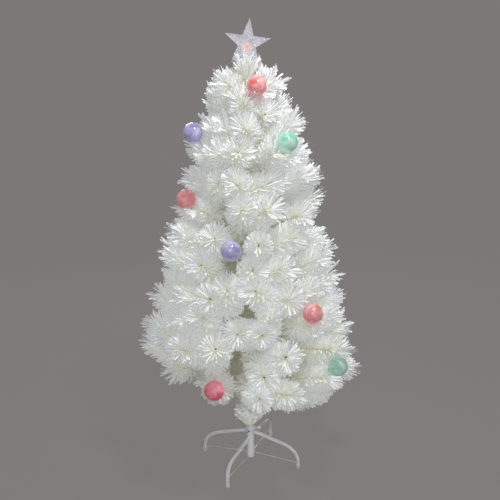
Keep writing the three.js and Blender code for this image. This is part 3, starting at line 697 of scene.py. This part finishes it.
turningPair = {"reach": 0.1415, "root": 0.0915, "fall": 15, "bendLength": 0.052, "bendDepth": 0.038,
               "braceRoot": 0.0254, "braceEnd": 0.0175}
ringSlot = {"leg_ring": -34, "brace_ring": 150, "width": 20, "slant": 52}  # bearings and the rest, degrees


def legPath(pair, bearing, seat):
    reach = pair["reach"]
    fall = math.tan(math.radians(pair["fall"]))
    corner = pair["root"] - fall * (reach - standParts["tubeRadius"])
    slopeEnd = (reach - pair["bendLength"], corner + fall * pair["bendLength"])
    knee = (reach, corner)
    bendEnd = (reach, corner - pair["bendDepth"])
    stations = [seat + past for past, share in standParts["bead"]] + [standParts["midLeg"]]
    flat = [(radius, corner + fall * (reach - radius)) for radius in stations]
    for step in range(standParts["bendSteps"] + 1):
        t = step / standParts["bendSteps"]
        flat.append(tuple((1 - t) ** 2 * a + 2 * t * (1 - t) * b + t * t * c
                          for a, b, c in zip(slopeEnd, knee, bendEnd)))
    flat += [(reach, standParts["capRise"] * 1.1), (reach, standParts["legFoot"])]
    return [polar(radius, bearing, height) for radius, height in flat]


def makeLeg(side, pair, bearing, seat, body):
    radius, sides, sunk = standParts["legRadius"], standParts["sides"], standParts["sunk"]
    path = legPath(pair, bearing, seat)
    radii = [radius + standParts["weld"] * share for past, share in standParts["bead"]]
    radii += [radius] * (len(path) - len(radii))
    leg = swept(path, radii, sides, polar(1, bearing + 90, 0))
    newPiece(side + "_leg_tube", leg, paint, body, "white_paint", [side + "_leg"])

    inner, wall = radius + tree["fitGap"], standParts["capWall"]
    outer, edge, rise = inner + wall, standParts["capEdge"], standParts["capRise"]
    chamfer, lip, floor = standParts["chamfer"], standParts["lip"], standParts["capFloor"]
    foot = turned([(0, 0), (outer - edge, 0), (outer - chamfer, lip), (outer, edge),
                   (inner + wall * 0.85, rise - edge), (inner + wall * 0.7, rise - lip),
                   (inner + wall * 0.35, rise), (inner, rise - chamfer), (inner, floor), (0, floor)],
                  sides, Matrix.Translation(polar(pair["reach"], bearing, 0)))
    newPiece(side + "_foot", foot, capGrey, body, "cap_plastic", [side + "_foot_cap"])

    brace = bmesh.new()
    start = polar(seat - sunk, bearing, pair["braceRoot"])
    end = polar(pair["reach"] - radius + sunk, bearing, pair["braceEnd"])
    rod(brace, start, end, standParts["braceRadius"], 12)
    for place, ahead in ((start, end), (end, start)):  # solder at both ends
        tip = place + (ahead - place).normalized() * standParts["solderLength"]
        rod(brace, place, tip, standParts["solderRadius"], 12, standParts["braceRadius"])
    newPiece(side + "_brace_wire", brace, braceWire, body, "brace_wire", [side + "_brace"])


def makeRing(name, inner, outer):  # split by a slanting slot
    low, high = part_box(name)[0].z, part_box(name)[1].z
    chamfer, width = standParts["chamfer"], ringSlot["width"]
    start = Matrix.Rotation(math.radians(ringSlot[name] - 90 + width / 2), 4, "Z")
    ring = turned([(inner, low), (outer - chamfer, low), (outer, low + chamfer), (outer, high - chamfer),
                   (outer - chamfer, high), (inner, high), (inner, low)], 44, start, 360 - width)
    for v in ring.verts:
        share = (v.co.z - low) / (high - low) - 0.5
        v.co.rotate(Matrix.Rotation(math.radians(ringSlot["slant"] * share), 3, "Z"))
    newPiece(name + "_band", ring, paint, "turning_legs", "white_paint", [name])


def makeStand():
    tube, gap = standParts["tubeRadius"], tree["fitGap"]
    chamfer, lip = standParts["chamfer"], standParts["lip"]
    bore = tube - standParts["tubeWall"]
    low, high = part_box("stand_tube")[0].z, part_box("stand_tube")[1].z
    post = turned([(bore, low), (tube - chamfer, low), (tube, low + chamfer), (tube, high - 2 * chamfer),
                   (tube - lip, high - chamfer / 2), (tube - 2 * chamfer, high), (bore + lip, high),
                   (bore, high - chamfer), (bore, low)], 48)
    newPiece("stand_post", post, postPaint, "stand", "white_paint", ["stand_tube"])

    foot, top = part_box("stand_tube_plug")[0].z, low + standParts["plugDepth"]
    plug = turned([(0, foot), (tube * 0.55, foot), (tube * 0.86, foot + lip), (tube * 0.97, foot + 3 * lip),
                   (tube, low - gap), (bore - gap, low - gap), (bore - gap, top), (0, top)], 40)
    newPiece("stand_post_plug", plug, capGrey, "stand", "cap_plastic", ["stand_tube_plug"])

    ringOut = tube + gap + standParts["ringWall"]
    fixed = standParts["fixedBearing"]
    opened = fixed + standParts["openAngle"]
    makeLeg("front", fixedPair, fixed, tube, "stand")
    makeLeg("back", fixedPair, fixed + 180, tube, "stand")
    makeLeg("right", turningPair, opened, ringOut, "turning_legs")
    makeLeg("left", turningPair, opened + 180, ringOut, "turning_legs")
    makeRing("leg_ring", tube + gap, ringOut)
    makeRing("brace_ring", tube + gap, ringOut)


clamp = {
    "bore": 0.0034,
    "foot": 0.0010,  # how far the nut's weld runs out at the tube
    "edge": 0.0004,
    "threadStart": 0.0014,
    "pitch": 0.00125,
    "crest": 0.0005,
    "crests": 9,
    "knobRadius": 0.0057,
    "wingWidth": 0.0042,
    "wingHeight": 0.0036,
    "wingPlace": 0.0049,
    "wingRoot": 0.0058,  # a wing narrows towards the tube
    "wingEdge": 0.0009,
}


def makeClamp():
    tube, gap, sunk = standParts["tubeRadius"], tree["fitGap"], standParts["sunk"]
    bore, edge, weld = clamp["bore"], clamp["edge"], clamp["foot"]
    nutLow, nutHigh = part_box("clamp_nut")
    half, outer, middle = (nutHigh.z - nutLow.z) / 2, nutHigh.x, (nutLow.z + nutHigh.z) / 2
    axis = Matrix.Translation((0, 0, middle)) @ Matrix.Rotation(math.radians(90), 4, "Y")
    nut = turned([(bore, tube - sunk), (half + weld, tube - sunk), (half + weld / 5, tube + weld),
                  (half, outer - 2 * edge), (half - 2 * edge, outer), (bore, outer), (bore, tube - sunk)],
                 6, axis @ Matrix.Rotation(math.radians(30), 4, "Z"))
    rounded(nut, edge)
    newPiece("clamp_boss", nut, paint, "stand", "white_paint", ["clamp_nut"])

    shankLow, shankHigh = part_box("clamp_screw_shank")
    shank, low, high = (shankHigh.z - shankLow.z) / 2, shankLow.x, shankHigh.x - edge
    profile = [(0, low), (shank * 0.6, low), (shank * 0.8, low + 2 * edge)]
    for number in range(clamp["crests"]):
        at = low + clamp["threadStart"] + number * clamp["pitch"]
        profile += [(shank * 0.82, at), (shank * 0.98, at + clamp["crest"])]
    thread = turned(profile + [(shank * 0.8, high), (0, high)], 20, axis)
    newPiece("clamp_thread", thread, braceWire, "clamp_screw", "brace_wire", ["clamp_screw_shank"])

    knobLow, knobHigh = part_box("clamp_screw_knob")
    low, high, radius = knobLow.x, knobHigh.x, clamp["knobRadius"]
    waist, hole = low + (high - low) * 0.5, shank + gap
    knob = turned([(hole, low), (radius - 2.5 * edge, low), (radius - edge / 2, low + 1.5 * edge),
                   (radius, waist), (radius * 0.86, high - 3 * edge), (radius * 0.62, high - edge / 2),
                   (0, high), (0, waist), (hole, waist), (hole, low)], 28, axis)
    wingLow = low + (high - low) * 0.2
    centre = (high + wingLow) / 2
    for side in (-1, 1):
        wing = bmesh.ops.create_cube(knob, size=1)["verts"]
        bmesh.ops.scale(knob, vec=(high - wingLow, clamp["wingWidth"], clamp["wingHeight"]), verts=wing)
        bmesh.ops.translate(knob, vec=(centre, side * clamp["wingPlace"], middle), verts=wing)
        for v in wing:
            if v.co.x < centre and abs(v.co.y) > clamp["wingPlace"]:
                v.co.y = side * clamp["wingRoot"]
        rounded(knob, clamp["wingEdge"], 3, 40, wing)
    newPiece("clamp_knob", knob, knobWhite, "clamp_screw", "white_plastic", ["clamp_screw_knob"])


makeStand()
makeClamp()
print("stage: stand made")


# Needles: flat strips of slit film in a brush round a wire

strip = {
    "length": 0.048,
    "width": 0.0041,
    "lengths": (0.84, 1.04),  # shares that single strips have of the length
    "widths": (0.8, 1.1),
    "thickness": 0.0006,
    "rootRadius": 0.0011,
    "corners": 6,  # three at the root and three at the tip, by turns
}
tipBrush = {
    "length": 0.088,
    "count": 375,
    "sweeps": [57, 50, 44, 58, 36, 53],  # degrees off the wire, some tips are tied closer than others
    "crowding": 1.2,  # strips stand closer together at the tip
    "opening": 0.02,  # length over which the brush opens
    "closedShare": 0.5,
    "flare": 4,
    "sweepPlay": 3.5,
}
bodyBrush = {"length": 0.045, "count": 138, "variants": 5, "trunkCount": 150, "sweep": (60, 5),
             "bearingPlay": 0.25, "rollPlay": 0.8}
clearFan = {"length": 0.058, "width": 0.0033, "lengths": (0.86, 1.04), "widths": (0.8, 1.2), "variants": 8,
            "members": (5, 8), "sweeps": (17, 27), "spreads": (4.5, 6.5), "sweepPlay": 3, "rollPlay": 0.5,
            "rootPlay": 0.004}
branch = {
    "root": 0.012,  # from the middle of the pole
    "nearPole": 0.02,
    "wireRadius": 0.0014,
    "wireTipRadius": 0.0013,
    "endBack": 0.034,  # the wire ends this far behind the reach of the tier
    "endPlay": 0.008,
    "backShare": 0.45,  # most that a short wire loses
    "bendPlay": 0.009,
    "bendLimit": 0.016,
    "ballGap": 0.004,
    "bareRoot": 0.016,
    "kneeBehind": 0.095,  # a branch is bent by hand this far behind its end
    "kneeShare": 0.5,
    "shortestShare": 0.4,
    "bows": [0.058, 0.028, 0.020],  # how far the branches of the lowest tiers arch up
    "bow": 0.010,
    "arch": [(0.3, 1.0), (0.7, 0.9), (1.0, 0.6)],  # shares of the way to the knee and of the bow
    "lowestThin": 0.74,
    "leastStretch": 0.6,
}
# a near-black rod over each wire's end: painted shadow of the hollow among the needle roots
endShadow = {"back": 0.002, "ahead": 0.004, "radius": 0.0028, "tipRadius": 0.0022}
seeds = {"tips": 11, "bodies": 31, "trunk": 41, "fans": 51, "leader": 71, "skirt": 72, "rays": 81,
         "rayMarks": 82, "tiers": 200, "needles": 300, "fibres": 400}
fibreTurn = 137.5  # each tip's fans are turned on by this many degrees for each degree of its bearing
goldenTurn = math.radians(137.508)


def unitStrip():  # one strip, 1 wide and 1 long
    bm = bmesh.new()
    bmesh.ops.create_cone(bm, cap_ends=True, segments=3, radius1=0.52, radius2=0.60,
                          depth=1, matrix=Matrix.Translation((0, 0, 0.5)))
    return meshOf("unit_strip", bm)


oneStrip = unitStrip()


def addCopy(bm, mesh, matrix):
    first = len(bm.verts)
    bm.from_mesh(mesh)
    bm.verts.ensure_lookup_table()
    bmesh.ops.transform(bm, matrix=matrix, verts=bm.verts[first:])


def sized(kind, dice):  # length and width of a single strip
    return kind["length"] * dice.uniform(*kind["lengths"]), kind["width"] * dice.uniform(*kind["widths"])


def addStrip(bm, root, direction, size, roll, thickness=strip["thickness"]):
    shape = Matrix.Diagonal((size[1], thickness, size[0], 1))
    addCopy(bm, oneStrip, aimed(root, root + direction, roll) @ shape)


def leaned(bearing, sweep):  # unit vector at an angle from +Z, bearing and sweep in radians
    out = math.sin(sweep)
    return Vector((out * math.cos(bearing), out * math.sin(bearing), math.cos(sweep)))


def brushMesh(name, length, count, seed, tipSweep=0):  # brush along -Z behind the wire's end at the origin
    dice = random.Random(seed)
    bm = bmesh.new()
    for number in range(count):
        share = (number + dice.random()) / count
        back = length * share
        bearing = number * goldenTurn + dice.uniform(-bodyBrush["bearingPlay"], bodyBrush["bearingPlay"])
        sweep, roll = dice.gauss(*bodyBrush["sweep"]), bearing + dice.gauss(0, bodyBrush["rollPlay"])
        if tipSweep:
            back = length * share ** tipBrush["crowding"]
            opening = min(back / tipBrush["opening"], 1)
            sweep = tipSweep + tipBrush["flare"] * back / length + dice.gauss(0, tipBrush["sweepPlay"])
            closed = dice.uniform(tipSweep * tipBrush["closedShare"], tipSweep)
            sweep = sweep * opening + (1 - opening) * closed
            roll = dice.uniform(0, math.pi)
        root = Vector((0, 0, -back)) + leaned(bearing, math.pi / 2) * strip["rootRadius"]
        addStrip(bm, root, leaned(bearing, math.radians(sweep)), sized(strip, dice), roll)
    return meshOf(name, bm)


def clearMesh(name, seed):  # two fans of clear strips that reach past the needles
    dice = random.Random(seed)
    bm = bmesh.new()
    for fan in range(2):
        members = dice.randint(*clearFan["members"])
        sweep, spread = dice.uniform(*clearFan["sweeps"]), dice.uniform(*clearFan["spreads"])
        for member in range(members):
            lean = math.radians(sweep + dice.uniform(-clearFan["sweepPlay"], clearFan["sweepPlay"]))
            swing = math.radians((member - members / 2) * spread) / math.sin(lean) + fan * math.pi
            root = Vector((0, 0, -dice.uniform(0.0, clearFan["rootPlay"])))
            addStrip(bm, root, leaned(swing, lean), sized(clearFan, dice),
                     swing + dice.gauss(0, clearFan["rollPlay"]))
    return meshOf(name, bm)


tipBrushes = [brushMesh(f"tip_brush_{n}", tipBrush["length"], tipBrush["count"], seeds["tips"] + n, sweep)
              for n, sweep in enumerate(tipBrush["sweeps"])]
bodyBrushes = [brushMesh(f"body_brush_{n}", bodyBrush["length"], bodyBrush["count"], seeds["bodies"] + n)
               for n in range(bodyBrush["variants"])]
trunkBrush = brushMesh("trunk_brush", tierPitch, bodyBrush["trunkCount"], seeds["trunk"])
clearFans = [clearMesh(f"clear_fan_{n}", seeds["fans"] + n) for n in range(clearFan["variants"])]
print("stage: brushes made")


def stripEnds(mesh):  # root and tip of every strip, and all its corners
    points = np.empty(len(mesh.vertices) * 3)
    mesh.vertices.foreach_get("co", points)
    points = points.reshape(-1, 3, 2, 3)
    return points[:, :, 0].mean(1), points[:, :, 1].mean(1), points.reshape(-1, 3)


def nearest(points, start, end):  # distance from each point to a segment
    along = end - start
    share = ((points - start) @ along / (along @ along)).clip(0, 1)
    return np.linalg.norm(points - start - share[:, None] * along, axis=1)


# Each ball hangs clear of the needles, and clear to see from the front or the back
ballKeep = {"radius": 0.0252, "ahead": 0.10, "aheadRadius": 0.0245, "rise": 0.28, "glow": 0.012,
            "glowShare": 0.22, "samples": 8}
for ball in balls:
    ahead = polar(1, ball["turn"], ballKeep["rise"])
    if abs(ball["turn"]) < 90:
        ahead = Vector(lens["place"]) - ball["centre"]
    ball["ahead"] = ball["centre"] + ahead.normalized() * ballKeep["ahead"]
starKeep = {"half": 0.0056, "foot": 0.050, "reach": 0.062}
starCentre = (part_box("star_core")[0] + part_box("star_core")[1]) / 2


def cleared(mesh):  # strips that would run into a ball, hide it, or cross the star are left out
    roots, tips, points = stripEnds(mesh)
    blocked = np.zeros(len(roots), bool)
    for share in np.linspace(0, 1, ballKeep["samples"]):
        at = roots + (tips - roots) * share
        for ball in balls:
            centre, ahead = np.array(ball["centre"]), np.array(ball["ahead"])
            blocked |= np.linalg.norm(at - centre, axis=1) < ballKeep["radius"]
            blocked |= nearest(at, centre, ahead) < ballKeep["aheadRadius"]
        beside = (np.abs(at[:, 0]) < starKeep["reach"]) & (at[:, 2] > starCentre.z - starKeep["foot"])
        blocked |= beside & (np.abs(at[:, 1]) < starKeep["half"])
    bm = bmesh.new()
    bm.from_mesh(mesh)
    bm.verts.ensure_lookup_table()
    doomed = [v for v, gone in zip(bm.verts, np.repeat(blocked, strip["corners"])) if gone]
    bmesh.ops.delete(bm, geom=doomed, context="VERTS")
    bm.to_mesh(mesh)
    bm.free()


depthMark = {"clear": 0.75, "range": 0.5}  # shares of the reach: where depth starts, and over what it grows; depth paints shade on the film


def marked(mesh, seed, reach=0.0):  # place along a strip, its shade, its depth in the tree, the balls' glow
    roots, tips, points = stripEnds(mesh)
    count, corners = len(roots), strip["corners"]
    marks = np.ones((count, corners, 4))
    marks[:, :, 0] = np.arange(corners) % 2
    marks[:, :, 1] = np.random.default_rng(seed).random(count)[:, None]
    marks[:, :, 2] = 0
    if reach:
        outward = np.linalg.norm(roots[:, :2], axis=1) / reach
        marks[:, :, 2] = ((depthMark["clear"] - outward) / depthMark["range"]).clip(0, 1)[:, None]
    mesh.color_attributes.new("strip", "FLOAT_COLOR", "POINT").data.foreach_set("color", marks.ravel())
    glow = np.zeros((len(points), 4))
    for ball in balls:
        away = np.linalg.norm(points - np.array(ball["centre"]), axis=1) - ballKeep["radius"]
        share = np.exp(-(away.clip(0) / ballKeep["glow"]) ** 2) * ballKeep["glowShare"]
        nearer = share > glow[:, 3]
        glow[nearer, :3] = ballTints[ball["tint"]]["pale"][:3]
        glow[nearer, 3] = share[nearer]
    mesh.color_attributes.new("glow", "FLOAT_COLOR", "POINT").data.foreach_set("color", glow.ravel())


def besideBalls(start, end):  # a wire that would run into a ball ends before it
    ahead = (end - start).normalized()
    length = (end - start).length
    keepOff = ballKeep["radius"] + branch["ballGap"]
    for ball in balls:
        along = (ball["centre"] - start).dot(ahead)
        beside = (start + ahead * along - ball["centre"]).length
        if along > 0 and beside < keepOff:
            length = min(length, along - math.sqrt(keepOff ** 2 - beside ** 2))
    return start + ahead * length


def tierWires(index):  # start, end and bearing of every wire that carries needles
    arms, tips = tiers[index]["arms"], tiers[index]["tips"]
    straight = (tips - 1) // 2
    for bearing, share in armsOf(index):
        reach = tierReach(index) * share
        fork = onTier(index, reach * tree["forkShare"], bearing)
        for tip in range(tips):
            tipBearing = bearing + (tip - straight) * 360 / (arms * tips)
            start = polar(branch["root"], bearing, tierHeight(index)) if tip == straight else fork
            end = onTier(index, reach * (1 if tip == straight else tree["twigReachShare"]), tipBearing)
            yield start, end, tipBearing


def bentEnd(index, start, end, bearing, dice):  # where a wire ends, short of the reach and bent by hand
    whole = end - start
    key = (index + 1, round((bearing + 180) % 360 - 180))
    if key in bends:
        out, up, aside = (value / 1000 for value in bends[key])
        back = branch["endBack"]
        shift = polar(out, bearing, up) + polar(aside, bearing + 90, 0)
    else:
        back, limit = branch["endBack"] + abs(dice.gauss(0, branch["endPlay"])), branch["bendLimit"]
        shift = Vector([max(min(dice.gauss(0, branch["bendPlay"]), limit), -limit) for axis in range(3)])
    return end - whole.normalized() * min(back, whole.length * branch["backShare"]) + shift


def branchPath(index, start, reachEnd, end):  # arches up from the pole, then a bend towards the end
    length = (end - start).length
    straight = (reachEnd - start).normalized()
    knee = start + straight * max(length - branch["kneeBehind"], length * branch["kneeShare"])
    if start.xy.length > branch["nearPole"]:
        return [start, knee, end]
    bow = upward * (branch["bows"][index] if index < len(branch["bows"]) else branch["bow"])
    return [start] + [start.lerp(knee, share) + bow * rise for share, rise in branch["arch"]] + [end]


def coverWire(needles, low, high, dice, thin):  # brushes end to end along a straight stretch of wire
    back = (low - high).normalized()
    if low.xy.length < branch["nearPole"]:
        low = low - back * branch["bareRoot"]
    length = (high - low).length
    pieces = max(round(length / bodyBrush["length"]), 1)
    stretch = max(length / pieces / bodyBrush["length"], branch["leastStretch"])
    for piece in range(pieces):
        at = high + back * length * piece / pieces
        roll = dice.uniform(0, 2 * math.pi)
        place = aimed(at, at - back, roll) @ Matrix.Diagonal((thin, thin, stretch, 1))
        addCopy(needles, dice.choice(bodyBrushes), place)


collar = {"drop": 0.010, "turns": 6, "pitch": 0.0034, "ridge": [(0.0030, 0.0004), (0.0034, 0.0022)],
          "height": 0.0205}


def makeCollar(name, index, body):  # tape wrap that holds a tier's wires to the pole
    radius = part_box(sectionOf(index) + "_pole")[1].x + tree["fitGap"]
    low = tierHeight(index) - collar["drop"]
    profile = [(radius, low)]
    for turn in range(collar["turns"]):
        profile += [(radius + out, low + turn * collar["pitch"] + up) for out, up in collar["ridge"]]
    profile += [(radius, low + collar["height"]), (radius, low)]
    newPiece(name, turned(profile, 20), poleCoat, body, "needle_film")


def makeTier(index):
    dice = random.Random(seeds["tiers"] + index)
    needles, clear, wires, ends = (bmesh.new() for kind in range(4))
    addCopy(needles, trunkBrush, Matrix.Translation((0, 0, tierHeight(index) + tierPitch / 2)))
    for start, reachEnd, bearing in tierWires(index):
        end = besideBalls(start, bentEnd(index, start, reachEnd, bearing, dice))
        if (end - start).length < branch["kneeBehind"] * branch["shortestShare"]:
            continue
        path = branchPath(index, start, reachEnd, end)
        ahead = (end - path[-2]).normalized()
        tipPlace = aimed(end, end + ahead, dice.uniform(0, 2 * math.pi))
        addCopy(needles, dice.choice(tipBrushes), tipPlace)
        addCopy(clear, dice.choice(clearFans), aimed(end, end + ahead, math.radians(bearing * fibreTurn)))
        # painted shadow at the wire's end: a dark rod where the needle roots leave a shaded hollow
        rod(ends, end - ahead * endShadow["back"], end + ahead * endShadow["ahead"], endShadow["radius"], 8,
            endShadow["tipRadius"])
        for place, (low, high) in enumerate(zip(path, path[1:])):
            rod(wires, low, high, branch["wireRadius"], 6, branch["wireTipRadius"])
            if place < len(path) - 2:
                coverWire(needles, low, high, dice, 1 if index else branch["lowestThin"])
    number, body = f"{index + 1:02d}", sectionOf(index) + "_section"
    nodes = ["branch_tier_" + number]
    for kind, bm, material, slot in (("needles", needles, film, "needle_film"),
                                     ("fibres", clear, clearFilm, "fibre_clear")):
        mesh = meshOf(f"{kind}_tier_{number}", bm)
        cleared(mesh)
        marked(mesh, seeds[kind] + index, tierReach(index))
        placePiece(mesh.name, mesh, material, body, nodes, 0)
    newPiece("wires_tier_" + number, wires, branchWire, body, "brace_wire", nodes)
    newPiece("wire_ends_" + number, ends, endShadowWire, body, "brace_wire", nodes)
    makeCollar("collar_tier_" + number, index, body)
    print(f"tier {number} made")


ballStem = {"end": 0.021, "radius": 0.0022}  # the stem ends inside the ball, this far from its middle


def makeBallStem(ball):
    inward = (ball["stem"] - ball["centre"]).normalized()
    bm = bmesh.new()
    rod(bm, ball["stem"], ball["centre"] + inward * ballStem["end"], ballStem["radius"], 12)
    node = f"branch_tier_{ball['tier']:02d}"
    newPiece("stem_" + ball["name"], bm, knobWhite, ball["body"], "white_plastic", [node])


for index in range(len(tiers)):
    makeTier(index)
for ball in balls:
    makeBallStem(ball)
print("stage: branches made")


# Leader at the top of the pole and skirt at its foot

sprig = {"width": strip["width"], "lengths": (0.8, 1.08), "widths": (0.75, 1.05), "bearingPlay": 0.3,
         "taper": 0.4}
leader = {**sprig, "count": 380, "low": 0.001, "high": 0.034, "length": 0.052, "sweeps": (8, 44),
          "core": 0.0045}
skirt = {**sprig, "count": 300, "low": 0.1115, "high": 0.137, "length": 0.047, "sweeps": (20, 48),
         "core": 0.0105}


def makeSprig(name, size, foot, body, nodes, seed):
    dice = random.Random(seed)
    bm = bmesh.new()
    for number in range(size["count"]):
        share = (number + dice.random()) / size["count"]
        play = dice.uniform(-size["bearingPlay"], size["bearingPlay"])
        bearing = math.degrees(number * goldenTurn + play)
        height = foot + size["low"] + (size["high"] - size["low"]) * share
        root = polar(1, bearing, 0) * size["core"] * (1 - size["taper"] * share) + upward * height
        sweep = math.radians(dice.uniform(*size["sweeps"]))
        direction = polar(math.sin(sweep), bearing, math.cos(sweep))
        addStrip(bm, root, direction, sized(size, dice), dice.uniform(0, math.pi))
    mesh = meshOf(name, bm)
    cleared(mesh)
    marked(mesh, seed)
    placePiece(name, mesh, film, body, nodes, 0)


makeSprig("leader_needles", leader, poleTop, "upper_section", ["leader_sprig"], seeds["leader"])
makeSprig("skirt_needles", skirt, 0, "lower_section", ["trunk_skirt"], seeds["skirt"])
print("stage: leader and skirt made")


# Balls: a thin pearly shell, open at a neck where the fibres come in

ballShape = {"radius": 0.025, "wall": 0.0011, "neck": 0.0026, "sides": 48, "bands": 22}


def makeBall(ball):
    bands, outer, tint = ballShape["bands"], ballShape["radius"], ball["tint"]
    profile = []
    for radius, steps in ((outer, range(bands + 1)), (outer - ballShape["wall"], range(bands, -1, -1))):
        end = math.acos(ballShape["neck"] / radius)
        for step in steps:
            angle = -math.pi / 2 + (end + math.pi / 2) * step / bands
            profile.append((radius * math.cos(angle) if step else 0, radius * math.sin(angle)))
    shell = turned(profile, ballShape["sides"], aimed(ball["centre"], ball["stem"]))
    newPiece("shell_" + ball["name"], shell, pearls[tint], ball["body"], "ball_" + tint,
             ["ball_" + ball["name"]])


for ball in balls:
    makeBall(ball)
print("stage: balls made")


# Star: two clear glittered halves, a disc of copper rays, a white sleeve and its stem

starShape = {
    "radius": 0.060,
    "points": 5,
    "notch": 0.39,
    "lean": 7,
    "depth": 0.0041,
    "rim": 0.0017,
    "recess": 0.0007,
    "slope": 0.0004,
    "pocketSlope": 0.0002,
    "floor": 0.0012,
    "bevel": 0.0003,
    "coreDrop": 0.008,
}
rays = {"count": 120, "length": 0.0135, "lengths": (0.55, 1.0), "width": 0.0011, "thickness": 0.0004,
        "root": 0.0006, "aside": 0.001, "lean": 0.08}
lean = Matrix.Rotation(math.radians(starShape["lean"]), 4, "Y")
starPlace = Matrix.Translation(starCentre + lean @ Vector((0, 0, starShape["coreDrop"]))) @ lean


def sunken(bm, faces, slope, depth):  # a rim, and inside it a lower field
    bmesh.ops.inset_region(bm, faces=faces, thickness=starShape["rim"], depth=0, use_even_offset=True)
    bmesh.ops.inset_region(bm, faces=faces, thickness=slope, depth=-depth, use_even_offset=True)


def starHalf(side, name):
    bm = bmesh.new()
    upright = Matrix.Rotation(math.radians(90), 4, "X")
    outline = bmesh.ops.create_circle(bm, cap_ends=True, segments=2 * starShape["points"],
                                      radius=starShape["radius"], matrix=upright)["verts"]
    top = max(outline, key=lambda v: v.co.z)
    angle = math.atan2(top.co.x, top.co.z)
    bmesh.ops.rotate(bm, verts=outline, cent=(0, 0, 0), matrix=Matrix.Rotation(-angle, 3, "Y"))
    for v in outline:
        if round(math.atan2(v.co.x, v.co.z) / math.pi * starShape["points"]) % 2:
            v.co *= starShape["notch"]
    face = bm.faces[:][0]
    back = bmesh.ops.duplicate(bm, geom=[face])["geom"]
    grown = bmesh.ops.extrude_face_region(bm, geom=[face])["geom"]
    front = [g for g in grown if isinstance(g, bmesh.types.BMFace)]
    bmesh.ops.translate(bm, vec=(0, side * starShape["depth"], 0), verts=vertsIn(grown))
    bmesh.ops.delete(bm, geom=vertsIn(back), context="VERTS")
    bmesh.ops.recalc_face_normals(bm, faces=bm.faces)
    pocket = starShape["depth"] - starShape["recess"] - starShape["floor"]
    sunken(bm, front, starShape["slope"], starShape["recess"])
    inner = [f for f in bm.faces if all(abs(v.co.y) < mergeDistance for v in f.verts)]
    sunken(bm, inner, starShape["pocketSlope"], pocket)
    bmesh.ops.translate(bm, vec=(0, side * tree["fitGap"] / 2, 0), verts=bm.verts)
    rounded(bm, starShape["bevel"], 2, 50)
    bmesh.ops.transform(bm, matrix=starPlace, verts=bm.verts)
    newPiece("glitter_" + name, bm, glitter, "star", "star_clear", [name], 30)


def makeCore():
    dice = random.Random(seeds["rays"])
    bm = bmesh.new()
    for number in range(rays["count"]):
        bearing = number * goldenTurn
        start = Vector((0, dice.uniform(-rays["aside"], rays["aside"]), 0))
        tilt = dice.uniform(-rays["lean"], rays["lean"])
        out = Vector((math.cos(bearing), tilt, math.sin(bearing))).normalized()
        length = rays["length"] * dice.uniform(*rays["lengths"])
        addStrip(bm, start + out * rays["root"], out, (length, rays["width"]), dice.uniform(0, math.pi),
                 rays["thickness"])
    bmesh.ops.transform(bm, matrix=Matrix.Translation(starCentre) @ lean, verts=bm.verts)
    mesh = meshOf("copper_core", bm)
    marked(mesh, seeds["rayMarks"])
    placePiece("copper_core", mesh, copper, "star", ["star_core"], 0)


sleeve = {"bore": 0.0015, "radius": 0.0024, "cap": 0.0025, "length": 0.021, "drop": 0.0125,
          "edge": 0.0003, "shoulder": 0.0010}
stemWire = {"radius": 0.0012, "sunk": 0.010, "steady": 0.032, "bendShare": 0.4, "steps": 12}


def makeStem():
    gap, edge, bore, radius = tree["fitGap"], sleeve["edge"], sleeve["bore"], sleeve["radius"]
    high = -starShape["coreDrop"] - sleeve["drop"] - gap
    low, inside = high - sleeve["length"], high - sleeve["cap"]
    tube = turned([(bore, low), (radius - edge, low), (radius, low + edge),
                   (radius, high - sleeve["shoulder"]), (radius * 0.8, high - edge), (radius * 0.5, high),
                   (0, high), (0, inside), (bore, inside), (bore, low)], 24, starPlace)
    newPiece("star_sleeve_tube", tube, knobWhite, "star", "white_plastic", ["star_sleeve"])

    sunk, steady = stemWire["sunk"], Vector((0, 0, poleTop + stemWire["steady"]))
    entry = starPlace @ Vector((0, 0, low - gap))
    bend = (entry - steady).length * stemWire["bendShare"]
    handles = [steady, steady + upward * bend, starPlace @ Vector((0, 0, low - gap - bend)), entry]
    path = [Vector((0, 0, poleTop - sunk)), Vector((0, 0, poleTop + sunk))]
    for step in range(stemWire["steps"] + 1):
        t = step / stemWire["steps"]
        weights = ((1 - t) ** 3, 3 * t * (1 - t) ** 2, 3 * t * t * (1 - t), t ** 3)
        path.append(sum((w * h for w, h in zip(weights, handles)), Vector()))
    path.append(starPlace @ Vector((0, 0, inside - gap)))
    wire = swept(path, [stemWire["radius"]] * len(path), 12, Vector((0, 1, 0)))
    newPiece("star_stem_wire", wire, braceWire, "upper_section", "brace_wire", ["star_stem"])


starHalf(-1, "star_front")
starHalf(1, "star_back")
makeCore()
makeStem()
print("stage: star made")


# Finish of the pieces that keep their own shape

kept = {
    "lower_pole": poleCoat, "upper_pole": poleCoat, "pole_end_plug": knobWhite,
    "lamp_housing": black, "led_board": boardGreen, "light_lens": lensClear,
    "fibre_ferrule": black, "fibre_bundle": fibreClear, "power_inlet": black,
}
for name, material in kept.items():
    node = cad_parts[name]
    if not node.material_slots:
        node.data.materials.append(material)
    for place in node.material_slots:
        place.material = material
